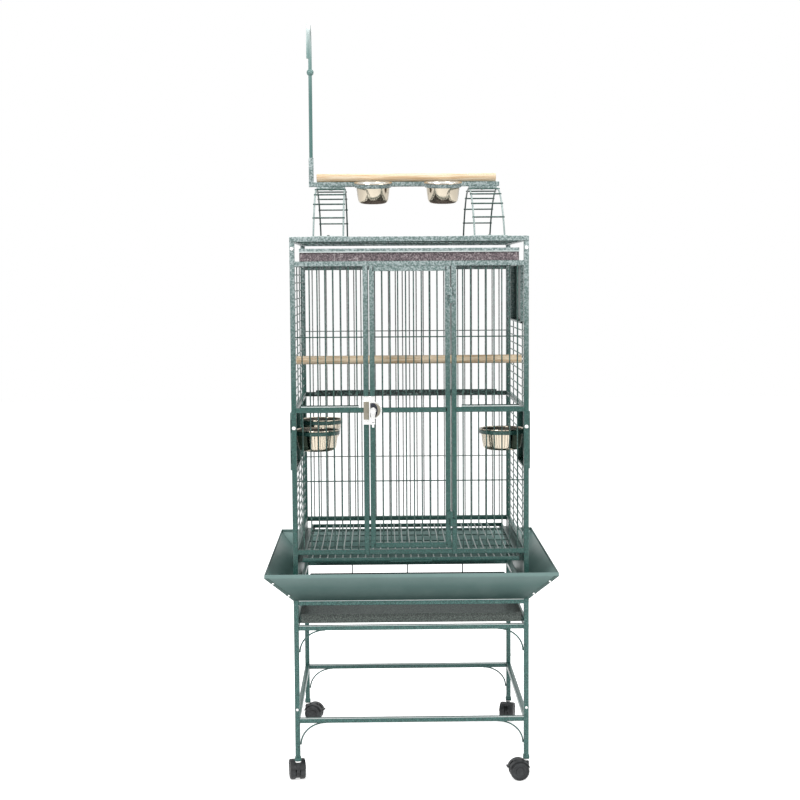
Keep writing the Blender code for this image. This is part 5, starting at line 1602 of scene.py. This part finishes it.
@dataclass
class NestDoor:
    """The nest box door on the right wall, which lifts on its top edge."""

    def build(self) -> None:
        """Builds the door and its latch."""
        wall = CAGE.right + CAGE.fit
        low_y = CAGE.front + CAGE.nest_front - CAGE.hatch_lap
        width = CAGE.nest_width + 2 * CAGE.hatch_lap
        low_z = CAGE.nest_sill - CAGE.strip / 2
        height = CAGE.head_rail - low_z
        door = Piece("nest_door_sheet")
        door.add(pressed_door(wall, low_y, low_z, width, height), SHEET_PAINT)
        middle = low_y + width / 2
        door.add(boxed((wall + 0.0010, middle - 0.008, low_z + 0.001),
                       (wall + 0.0032, middle + 0.008, low_z + height - 0.001), 0.0004),
                 SHEET_PAINT)
        for start in (0.10, 0.72):
            door.add(rod((wall + 0.0020, low_y + width * start, low_z + height - 0.0005),
                         (wall + 0.0020, low_y + width * (start + 0.18),
                          low_z + height - 0.0005), 0.0036, 14))
        door.done("nest_door", "nest_flap")
        latch = Piece("nest_door_turn_button")
        latch.add(turn_button((wall + 0.004 + CAGE.fit, middle + 0.016, low_z + 0.012)), NICKEL)
        latch.done("nest_door_latch", "nest_latch")


@dataclass
class Perches:
    """The dowel across the cage, and the winged bolts at its ends."""

    diameter: float = 0.0222
    from_front: float = 0.118

    def build(self) -> None:
        """Builds the perch and its bolts."""
        y = CAGE.front + self.from_front
        z = CAGE.perch_height
        end = CAGE.right - CAGE.half - CAGE.bar / 2 - CAGE.fit
        perch = Piece("cage_perch_dowel")
        perch.add(dowel(-end, end, y, z, self.diameter), BEECH)
        perch.done("cage_perch")
        washer_in = CAGE.right - CAGE.half + CAGE.crossing + CAGE.wire / 2 + 0.0006
        for side in Side:
            sign, node = side.value, "perch_bolt_" + side.word
            piece = Piece(node + "_wing_nut")
            washer = revolved([(0.0, 0.0), (0.012, 0.0), (0.012, 0.0014), (0.0114, 0.002),
                               (0.0, 0.002)], 32)
            hub = revolved([(0.0, 0.0015), (0.0058, 0.0015), (0.0045, 0.0072), (0.0026, 0.0078),
                            (0.0, 0.0078)], 28)
            for shape in (washer, hub):
                piece.add(aimed(shape, (sign * washer_in, y, z), Vector((sign, 0, 0))), ZINC)
            piece.add(rod((sign * (end - 0.02), y, z), (sign * (washer_in + 0.001), y, z), 0.005,
                          14), ZINC)
            for way in (-1, 1):
                ends = sorted((y + way * 0.002, y + way * 0.0108))
                reach = sorted((sign * (washer_in + 0.0030), sign * (washer_in + 0.0118)))
                piece.add(boxed((reach[0], ends[0], z - 0.0015), (reach[1], ends[1], z + 0.0015),
                                0.0014, None, 3), ZINC)
            piece.done(node)


def dowel(low_x: float, high_x: float, y: float, z: float, diameter: float) -> Shape:
    """Makes a turned dowel along X with eased ends.

    Args:
        low_x: Its left end.
        high_x: Its right end.
        y: How deep its axis lies.
        z: The height of its axis.
        diameter: Its diameter.

    Returns:
        The shape.
    """
    radius = diameter / 2
    length = high_x - low_x
    ease = 0.0016
    shape = revolved([(0.0, 0.0), (radius - ease, 0.0), (radius - ease * 0.3, ease * 0.3),
                      (radius, ease), (radius, length * 0.25), (radius, length * 0.5),
                      (radius, length * 0.75), (radius, length - ease),
                      (radius - ease * 0.3, length - ease * 0.3), (radius - ease, length),
                      (0.0, length)], 36)
    return aimed(shape, (low_x, y, z), Vector((1, 0, 0)))


@dataclass
class GrateAndTrays:
    """The pull-out grate and the two sheet trays."""

    grate_half: float = 0.280
    grate_edge: float = 0.005
    grip: float = 0.110
    lip: float = 0.006
    sheet: float = 0.0012
    wires: int = 27
    cross_wires: int = 5

    def build(self) -> None:
        """Builds the grate and both trays."""
        self.grate()
        self.tray("bottom_tray", "lower_tray", TRAY_PAINT, 0.0026)
        self.tray("top_tray", "upper_tray", ROSE_PAINT, 0.0100)

    def grate(self) -> None:
        """Builds the wire grate with its folded front grip."""
        piece = Piece("floor_grate_wires")
        low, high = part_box("floor_grate")
        top, bottom = CAGE.grate_top, CAGE.grate_top - CAGE.grate_thick
        front, back, half = CAGE.front, high.y, self.grate_half
        edge = self.grate_edge
        for low_y in (front, back - edge):
            piece.add(boxed((-half, low_y, bottom), (half, low_y + edge, top), 0.0010))
        for low_x in (-half, half - edge):
            piece.add(boxed((low_x, front + 0.001, bottom), (low_x + edge, back - 0.001, top),
                            0.0010))
        z = top - CAGE.bar * 0.15
        # The long wires are painted paler, as the highlight on their lit tops.
        for x in spread(-half + edge, half - edge, self.wires):
            piece.add(rod((x, front + 0.0012, z), (x, back - 0.0012, z), CAGE.bar), LAMP_LIT_WIRE_PAINT)
        for y in spread(front + edge, back - edge, self.cross_wires):
            level = z - CAGE.crossing
            piece.add(rod((-half + 0.002, y, level), (half - 0.002, y, level), CAGE.wire),
                      WIRE_PAINT)
        piece.add(boxed((-self.grip / 2, low.y, bottom + 0.0003),
                        (self.grip / 2, front + 0.002, bottom + 0.0033), 0.0012, None, 3))
        piece.done("floor_grate", "grate")

    def tray(self, node: str, body: str, finish: Finish, fold: float) -> None:
        """Builds a tray of folded sheet with a rolled front lip.

        Args:
            node: The solid that it stands for.
            body: The body that it rides on.
            finish: Its paint.
            fold: The height of the front lip.
        """
        piece = Piece(node + "_sheet")
        low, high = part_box(node)
        front = low.y + self.lip
        shell = boxed((low.x, front, low.z), (high.x, high.y, high.z))
        uprights = [edge for edge in shell.edges
                    if abs(edge.verts[0].co.z - edge.verts[1].co.z) > 0.01]
        eased(shell, uprights, 0.004, 4)
        shell.normal_update()
        top = [face for face in shell.faces if face.normal.z > 0.9]
        bmesh.ops.inset_individual(shell, faces=top, thickness=self.sheet)
        pushed = bmesh.ops.extrude_discrete_faces(shell, faces=top)
        bmesh.ops.translate(shell, vec=(0.0, 0.0, self.sheet - (high.z - low.z)),
                            verts=[vert for face in pushed["faces"] for vert in face.verts])
        bmesh.ops.recalc_face_normals(shell, faces=shell.faces)
        piece.add(shell, finish)
        piece.add(boxed((low.x, low.y, high.z - fold), (high.x, front + 0.0006, high.z),
                        0.0010, 0, 3), PAINT if fold > 0.005 else finish)
        # On the upper tray a pale strip under the lip paints its highlight.
        if fold > 0.005:
            piece.add(boxed((low.x, low.y - 0.0002, high.z - fold - 0.0002),
                            (high.x, low.y + 0.001, high.z - fold + 0.0026), 0.0004), HIGHLIGHT_PAINT)
        piece.done(node, body)


@dataclass
class SeedGuards:
    """The four flared guards, joined at the corners by riveted flanges."""

    out: float = 0.070
    rise: float = 0.073
    lip: float = 0.009
    sheet: float = 0.0012
    flange: float = 0.012
    flange_thick: float = 0.0006

    def build(self) -> None:
        """Builds the four guards."""
        quarter = math.pi / 2
        for node, length, reach, turn in (
                ("front_guard", CAGE.width, CAGE.depth / 2, 0.0),
                ("rear_guard", CAGE.width, CAGE.depth / 2, 2 * quarter),
                ("left_guard", CAGE.depth, CAGE.width / 2, -quarter),
                ("right_guard", CAGE.depth, CAGE.width / 2, quarter)):
            self.guard(node, length, reach, turn)

    def guard(self, node: str, length: float, reach: float, turn: float) -> None:
        """Builds one guard for the front and turns it to its side.

        Args:
            node: The solid that it stands for.
            length: The side of the cage that it runs along.
            reach: How far that side lies from the middle.
            turn: The turn from the front to its side.
        """
        half = length / 2
        low = CAGE.stand_top + CAGE.fit
        sheet, wall, brim = self.sheet, -reach - CAGE.fit, -reach - self.out
        wide = half + 2 * self.out
        bend, top = low + self.rise, low + self.rise + self.lip
        shape = extruded([
            (-reach + 0.010, low), (wall, low), (brim + 0.0006, bend - 0.001), (brim, bend),
            (brim, top - 0.001), (brim + 0.0006, top), (brim + sheet, top - 0.0006),
            (brim + sheet, bend + sheet * 0.4), (wall + 0.0005, low + sheet),
            (-reach + 0.010, low + sheet)], "YZ", -wide, wide)
        for side in Side:
            halved(shape, (side.value * (half - CAGE.fit), -reach, 0.0), (side.value, 1.0, 0.0))
        # The tab under the posts stops at the tubes' inner faces.
        tab = half - CAGE.tube - 2 * CAGE.fit
        for vert in shape.verts:
            if vert.co.y > -reach + 0.001:
                vert.co.x = max(-tab, min(tab, vert.co.x))
        bmesh.ops.recalc_face_normals(shape, faces=shape.faces)
        piece = Piece(node + "_sheet")
        about = Matrix.Rotation(turn, 4, "Z")
        # The guard's coat paints shade at its foot and a reflection towards its lip.
        piece.add(placed(shape, about), GUARD_PAINT)
        for side in Side:
            self.corner(piece, side, Vector((half, -reach, low)), about)
        piece.done(node)

    def corner(self, piece: Piece, side: Side, foot: Vector, about: Matrix) -> None:
        """Adds the flange along one slanted corner edge, with its two rivets.

        Args:
            piece: The guard that takes them.
            side: The guard's end.
            foot: The lower end of the right corner edge.
            about: The turn to the guard's side of the cage.
        """
        out = Vector((0.0, -self.rise, -self.out)).normalized()

        def spot(share: float, inset: float, lift: float) -> Vector:
            """Gives a point up the corner edge, in from it and off the sheet."""
            return Vector((side.value * (foot.x + self.out * share - inset),
                           foot.y - self.out * share, foot.z + self.rise * share)) + out * lift

        flange = bmesh.new()
        for share in (0.0, 1.0):
            for inset in (0.0004, self.flange):
                for lift in (0.0, self.flange_thick):
                    flange.verts.new(spot(share, inset, lift))
        bmesh.ops.convex_hull(flange, input=flange.verts)
        piece.add(placed(flange, about))
        for share in (0.24, 0.78):
            rivet = domed_bolt(spot(share, self.flange / 2, self.flange_thick), out, 0.0065)
            piece.add(placed(rivet, about), ZINC)


@dataclass
class Caster:
    """A hooded twin wheel caster."""

    place: str
    x: float
    y: float
    heading: float
    braked: bool = False
    radius: float = 0.025
    trail: float = 0.019
    wheel_width: float = 0.0145
    gap: float = 0.0057
    hood_low: float = 0.033

    def build(self) -> None:
        """Builds the housing and the wheel pair."""
        here = (Matrix.Translation((self.x, self.y, 0.0))
                @ Matrix.Rotation(math.radians(self.heading), 4, "Z"))
        self.housing(here)
        self.wheels(here)

    def on_axle(self, side: Side, out: float) -> Matrix:
        """Gives the turn of a spun shape onto the axle, facing one way and set out along it."""
        return (Matrix.Translation((self.trail, side.value * out, self.radius))
                @ Matrix.Rotation(-side.value * math.pi / 2, 4, "X"))

    def housing(self, here: Matrix) -> None:
        """Builds the moulded body, its hoods and the bright stem cup.

        Args:
            here: The caster's place and heading.
        """
        piece = Piece("caster_" + self.place + "_hood")
        shapes = [(rod((self.trail, -0.0045, self.radius), (self.trail, 0.0045, self.radius),
                       0.043, 36), NYLON),
                  (boxed((-0.007, -0.0045, 0.024), (self.trail, 0.0045, 0.0488), 0.002, 1), NYLON)]
        for side in Side:
            hood = revolved([(self.radius + 0.0016, 0.0046), (self.radius + 0.0034, 0.0046),
                             (self.radius + 0.0036, 0.0150), (self.radius + 0.0030, 0.0196),
                             (self.radius + 0.0016, 0.0202)], 56)
            placed(hood, self.on_axle(side, 0.0))
            # Only the part of the hood over the wheels is kept.
            shapes.append((halved(hood, (0.0, 0.0, self.hood_low), (0.0, 0.0, -1.0)), NYLON))
        shapes.append((boxed((self.trail - 0.016, -0.0047, 0.0440),
                             (self.trail + 0.014, 0.0047, 0.0534), 0.0020, 1), NYLON))
        collar = revolved([(0.0, 0.0515), (0.0078, 0.0515), (0.0080, 0.0530), (0.0074, 0.0547),
                           (0.0, 0.0547)], 32)
        shapes.append((collar, ZINC))
        if self.braked:
            shapes.append((boxed((self.trail + 0.020, -0.010, 0.034),
                                 (self.trail + 0.033, 0.010, 0.0375), 0.0014, None, 3), NYLON))
        for shape, finish in shapes:
            piece.add(placed(shape, here), finish)
        piece.done("caster_" + self.place + "_housing", "caster_" + self.place)

    def wheels(self, here: Matrix) -> None:
        """Builds the two wheels with their dished faces and the axle between them.

        Args:
            here: The caster's place and heading.
        """
        piece = Piece("caster_" + self.place + "_wheel_pair")
        width, radius = self.wheel_width, self.radius
        for side in Side:
            wheel = revolved([(0.0, 0.0), (radius - 0.0020, 0.0), (radius, 0.0016),
                              (radius, width - 0.0044), (radius - 0.0010, width - 0.0018),
                              (radius - 0.0030, width - 0.0002), (radius * 0.80, width),
                              (radius * 0.76, width - 0.0016), (radius * 0.46, width - 0.0022),
                              (radius * 0.42, width - 0.0004), (radius * 0.20, width - 0.0002),
                              (0.0, width - 0.0010)], 56)
            piece.add(placed(wheel, here @ self.on_axle(side, self.gap)), NYLON)
        axle = rod((self.trail, -0.008, radius), (self.trail, 0.008, radius), 0.008, 20)
        piece.add(placed(axle, here), ZINC)
        piece.done("caster_" + self.place + "_wheels", "wheels_" + self.place)


@dataclass
class PlayTop:
    """The ladders, the bar with its sleeve, the perch, the toy hook and two bowls."""

    gauge: float = 0.0765
    ladder_x: float = 0.206
    crown: float = 1.5525
    span: float = 0.262
    arch_steps: int = 28
    bend_steps: int = 24
    ball: float = 0.0096
    rail: float = 0.0045
    rung: float = 0.0040
    bar_left: float = -0.2656
    bar_right: float = 0.2509
    perch: float = 0.0222
    perch_left: float = 0.021
    perch_right: float = 0.009
    sleeve_top: float = 1.6375
    pole: float = 0.0095
    hook_top: float = 1.9856
    hook_radius: float = 0.055
    hook_tail: float = 0.038
    ball_drop: float = 0.060
    cup: Bowl = Bowl(0.0515, 0.0455, 0.032)
    cup_left: float = -0.0915
    cup_right: float = 0.0955
    cup_tip: float = 8.0

    @property
    def bar_bottom(self) -> float:
        """The lower face of the play bar."""
        return self.crown + self.rail / 2 + 0.004 + CAGE.fit

    def build(self) -> None:
        """Builds every piece of the play top."""
        self.ladder("left_arch", -self.ladder_x)
        self.ladder("right_arch", self.ladder_x)
        self.bar()
        self.toy_hook()
        self.bowl(Side.LEFT, self.cup_left)
        self.bowl(Side.RIGHT, self.cup_right)

    def arch_point(self, share: float) -> Pair:
        """Gives y and z along the arch, for a share from the front foot to the rear one.

        Args:
            share: The share of the way, from 0 to 1.

        Returns:
            The y and z of the point.
        """
        foot = CAGE.roof_top + CAGE.fit + 0.002
        rise = self.crown - foot
        radius = (self.span ** 2 + rise ** 2) / (2 * rise)
        half_angle = math.asin(self.span / radius)
        angle = half_angle * (2 * share - 1)
        return radius * math.sin(angle), self.crown - radius + radius * math.cos(angle)

    def ladder(self, node: str, middle: float) -> None:
        """Builds one ladder arch.

        Args:
            node: The solid that it stands for.
            middle: The x of its middle.
        """
        piece = Piece(node + "_ladder")
        half = self.gauge / 2
        for side in Side:
            steps, top = self.arch_steps, self.arch_steps // 2
            path = [Vector((middle + side.value * half, *self.arch_point(step / steps)))
                    for step in range(steps + 1)]
            # Each rail's front half is painted paler, as the highlight on its lit side.
            piece.add(bent_rod(path[:top + 1], self.rail, 12), LAMP_LIT_WIRE_PAINT)
            piece.add(bent_rod(path[top:], self.rail, 12), WIRE_PAINT)
        # The crown has no rung, because the play bar's saddle lies there.
        for step in (1, 2, 3, 4, 6, 7, 8, 9):
            y, z = self.arch_point(step / 10)
            reach = half + 0.0035
            piece.add(rod((middle - reach, y, z + 0.002), (middle + reach, y, z + 0.002),
                          self.rung, 12), WIRE_PAINT)
        for y in (-self.span, self.span):
            foot = CAGE.roof_top + CAGE.fit
            # Each foot's plate is painted pale, as the highlight on its lit top.
            piece.add(boxed((middle - 0.046, y - 0.006, foot), (middle + 0.046, y + 0.006,
                                                               foot + 0.002), 0.0007),
                      HIGHLIGHT_PAINT)
            piece.add(domed_bolt((middle, y, foot + 0.002), (0, 0, 1), 0.0075), SHADE_PAINT)
        piece.add(boxed((middle - half, -0.011, self.crown),
                        (middle + half, 0.011, self.bar_bottom - CAGE.fit), 0.0008))
        piece.add(rod((middle, 0.0, self.crown - 0.004), (middle, 0.0, self.crown + 0.001),
                      0.010, 6), ZINC)
        piece.done(node)

    def bar(self) -> None:
        """Builds the bar with its upright sleeve, and the perch on top of it."""
        piece = Piece("play_bar_tube")
        bottom, top = self.bar_bottom, self.bar_bottom + CAGE.tube
        half = CAGE.half
        left = self.bar_left
        piece.add(tube((left, -half, bottom), (self.bar_right, half, top), 0))
        wall = half - self.pole / 2 - CAGE.fit
        for low, high in (((left, -half), (left + wall, half)),
                          ((left + CAGE.tube - wall, -half), (left + CAGE.tube, half)),
                          ((left + wall, -half), (left + CAGE.tube - wall, -half + wall)),
                          ((left + wall, half - wall), (left + CAGE.tube - wall, half))):
            piece.add(boxed((low[0], low[1], top - 0.0005), (high[0], high[1], self.sleeve_top),
                            0.0004))
        piece.add(domed_bolt((left, 0.0, self.sleeve_top - 0.020), (-1, 0, 0), 0.008), ZINC)
        piece.done("play_bar")
        perch = Piece("play_perch_dowel")
        perch.add(dowel(left + self.perch_left, self.bar_right - self.perch_right, 0.0,
                        top + CAGE.fit + self.perch / 2, self.perch), BEECH)
        perch.done("play_perch")

    def toy_hook(self) -> None:
        """Builds the square pole, bent over forwards into a hook, with the ball under the bend."""
        piece = Piece("toy_hook_pole")
        x = self.bar_left + CAGE.half
        foot = self.bar_bottom + CAGE.tube + CAGE.fit
        bend = self.hook_top - self.pole / 2 - self.hook_radius
        points = [Vector((x, 0.0, foot)), Vector((x, 0.0, bend))]
        for step in range(1, self.bend_steps + 1):
            angle = math.pi * step / self.bend_steps
            points.append(Vector((x, -self.hook_radius * (1 - math.cos(angle)),
                                  bend + self.hook_radius * math.sin(angle))))
        points.append(Vector((x, -2 * self.hook_radius, bend - self.hook_tail)))
        # The pole's coat pales towards the bend as a painted highlight.
        piece.add(self.squared(points), HOOK_PAINT)
        ball = bmesh.new()
        bmesh.ops.create_uvsphere(ball, u_segments=28, v_segments=16, radius=self.ball)
        bmesh.ops.translate(ball, vec=(x, 0.0, bend - self.ball_drop), verts=ball.verts)
        piece.add(ball, HOOK_PAINT)
        piece.done("toy_hook", "hook")

    def squared(self, points: list[Vector]) -> Shape:
        """Sweeps the pole's square section along its line, with eased corners.

        Args:
            points: The pole's middle line.

        Returns:
            The closed shape.
        """
        half = self.pole / 2
        shape = boxed((-half, -half, -0.0001), (half, half, 0.0), 0.0010, 2)
        shape.normal_update()
        top = [face for face in shape.faces if face.normal.z > 0.9]
        bmesh.ops.translate(shape, vec=points[0], verts=shape.verts)
        for step in bends(points):
            top = bmesh.ops.extrude_discrete_faces(shape, faces=top)["faces"]
            bmesh.ops.transform(shape, matrix=step,
                                verts=[vert for face in top for vert in face.verts])
        bmesh.ops.recalc_face_normals(shape, faces=shape.faces)
        return shape

    def bowl(self, side: Side, x: float) -> None:
        """Builds one of the two bowls in front of the bar, tipped a little forwards.

        Args:
            side: Which bowl.
            x: Where it hangs.
        """
        out = CAGE.half + 0.010 + self.cup.body + 0.0036
        level = self.bar_bottom + CAGE.half + 0.0015
        spot = (Matrix.Translation((x, -out, level))
                @ Matrix.Rotation(math.radians(self.cup_tip), 4, "X"))
        name = "play_" + side.word
        ring = Piece(name + "_hoop")
        hoop = self.cup.ring(out - CAGE.half - 0.0006)
        ring.add(placed(hoop, spot @ Matrix.Rotation(-math.pi / 2, 4, "Z")))
        ring.done(name + "_ring")
        cup = Piece(name + "_bowl")
        # The lining in bright nickel paints the lit inside of the stainless bowl.
        for shape, finish in ((self.cup.bowl(), BOWL_STEEL), (self.cup.lining(), NICKEL)):
            cup.add(placed(shape, spot), finish)
        cup.done(name + "_cup", "play_cup_" + side.word)


@dataclass
class Studio:
    """The pale floor, the lamps, the world and the camera."""

    eye: Point = (-0.077, -4.1438, 1.3155)
    yaw: float = 0.756
    pitch: float = 4.668
    roll: float = -0.373
    lens: float = 68.05

    def build(self) -> None:
        """Builds the studio."""
        self.floor()
        self.world()
        self.lamp("key_lamp", (-2.2, -3.2, 3.4), (0.0, 0.0, 1.0), 1.8, 95.0)
        self.lamp("fill_lamp", (2.6, -2.4, 2.0), (0.0, 0.0, 0.9), 1.8, 40.0)
        self.lamp("top_lamp", (0.2, 0.6, 3.8), (0.0, 0.0, 1.0), 2.0, 50.0)
        self.camera()
        bpy.context.scene.view_settings.view_transform = "Standard"

    def paper(self) -> bpy.types.Material:
        """Makes the white paper, which stays white to the eye and keeps the shadow.

        Returns:
            The material.
        """
        made = bpy.data.materials.new("white_studio_paper")
        made.use_nodes = True
        tree = made.node_tree
        tree.nodes.remove(tree.nodes["Principled BSDF"])
        matt = add_node(tree, "BsdfDiffuse", {"Color": linear("b4b4b4")})
        white = add_node(tree, "BsdfDiffuse", {"Color": linear("ffffff")})
        glow = add_node(tree, "Emission", {"Strength": 0.62})
        seen = add_node(tree, "AddShader", None, {0: white.outputs[0], 1: glow.outputs[0]})
        show_white(tree, "Material Output", matt, seen)
        return made

    def floor(self) -> None:
        """Lays the floor."""
        shape = bmesh.new()
        bmesh.ops.create_grid(shape, x_segments=1, y_segments=1, size=12.0)
        mesh = bpy.data.meshes.new("studio_floor")
        shape.to_mesh(mesh)
        shape.free()
        mesh.materials.append(self.paper())
        thing = bpy.data.objects.new("studio_floor", mesh)
        bpy.context.scene.collection.objects.link(thing)

    def world(self) -> None:
        """Lights the object evenly, and shows white behind it."""
        world = bpy.data.worlds.new("soft_studio")
        bpy.context.scene.world = world
        world.use_nodes = True
        tree = world.node_tree
        soft = tree.nodes["Background"]
        soft.inputs["Color"].default_value = linear("ffffff")
        soft.inputs["Strength"].default_value = 0.55
        white = add_node(tree, "Background", {"Color": linear("ffffff")})
        show_white(tree, "World Output", soft, white)

    def lamp(self, name: str, place: Point, target: Point, size: float, power: float) -> None:
        """Hangs a soft square lamp that faces a point.

        Args:
            name: Its name.
            place: Where it hangs.
            target: The point that it faces.
            size: Its side, in metres.
            power: Its power, in watts.
        """
        light = bpy.data.lights.new(name, "AREA")
        light.size = size
        light.energy = power
        thing = bpy.data.objects.new(name, light)
        thing.location = place
        facing = Vector(target) - Vector(place)
        thing.rotation_euler = facing.to_track_quat("-Z", "Y").to_euler()
        bpy.context.scene.collection.objects.link(thing)

    def camera(self) -> None:
        """Sets the camera at the photograph's place and angle."""
        yaw, pitch, roll = (math.radians(angle) for angle in (self.yaw, self.pitch, self.roll))
        forward = Vector((math.sin(yaw) * math.cos(pitch), math.cos(yaw) * math.cos(pitch),
                          -math.sin(pitch)))
        level = Vector((math.cos(yaw), -math.sin(yaw), 0.0))
        above = level.cross(forward)
        across = math.cos(roll) * level + math.sin(roll) * above
        up = -math.sin(roll) * level + math.cos(roll) * above
        turn = Matrix((across, up, -forward)).transposed().to_4x4()
        data = bpy.data.cameras.new("photo_camera")
        data.lens = self.lens
        data.sensor_width = 36.0
        data.sensor_fit = "HORIZONTAL"
        thing = bpy.data.objects.new("photo_camera", data)
        thing.matrix_world = Matrix.Translation(self.eye) @ turn
        bpy.context.scene.collection.objects.link(thing)
        bpy.context.scene.camera = thing


def main() -> None:
    """Builds the dressed cage in order, from the floor up."""
    logging.basicConfig(level=logging.INFO, format="%(name)s: %(message)s")
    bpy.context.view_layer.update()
    x, y = CAGE.right - CAGE.half, CAGE.back - CAGE.half
    parts = [
        Stand(),
        Caster("front_left", -x, -y, 100.0),
        Caster("front_right", x, -y, 186.0, braked=True),
        Caster("rear_left", -x, y, -12.0, braked=True),
        Caster("rear_right", x, y, -105.0),
        SeedGuards(),
        GrateAndTrays(),
        Walls(),
        Door(),
        Feeder("left_front", Side.LEFT, CAGE.side_front + CAGE.strip),
        Feeder("left_rear", Side.LEFT, CAGE.front + CAGE.second_feeder),
        Feeder("right_front", Side.RIGHT, CAGE.side_front + CAGE.strip),
        NestDoor(),
        Perches(),
        PlayTop(),
        Studio(),
    ]
    for part in parts:
        part.build()
        LOG.info("%s is done", type(part).__name__)


if __name__ == "__main__":
    main()
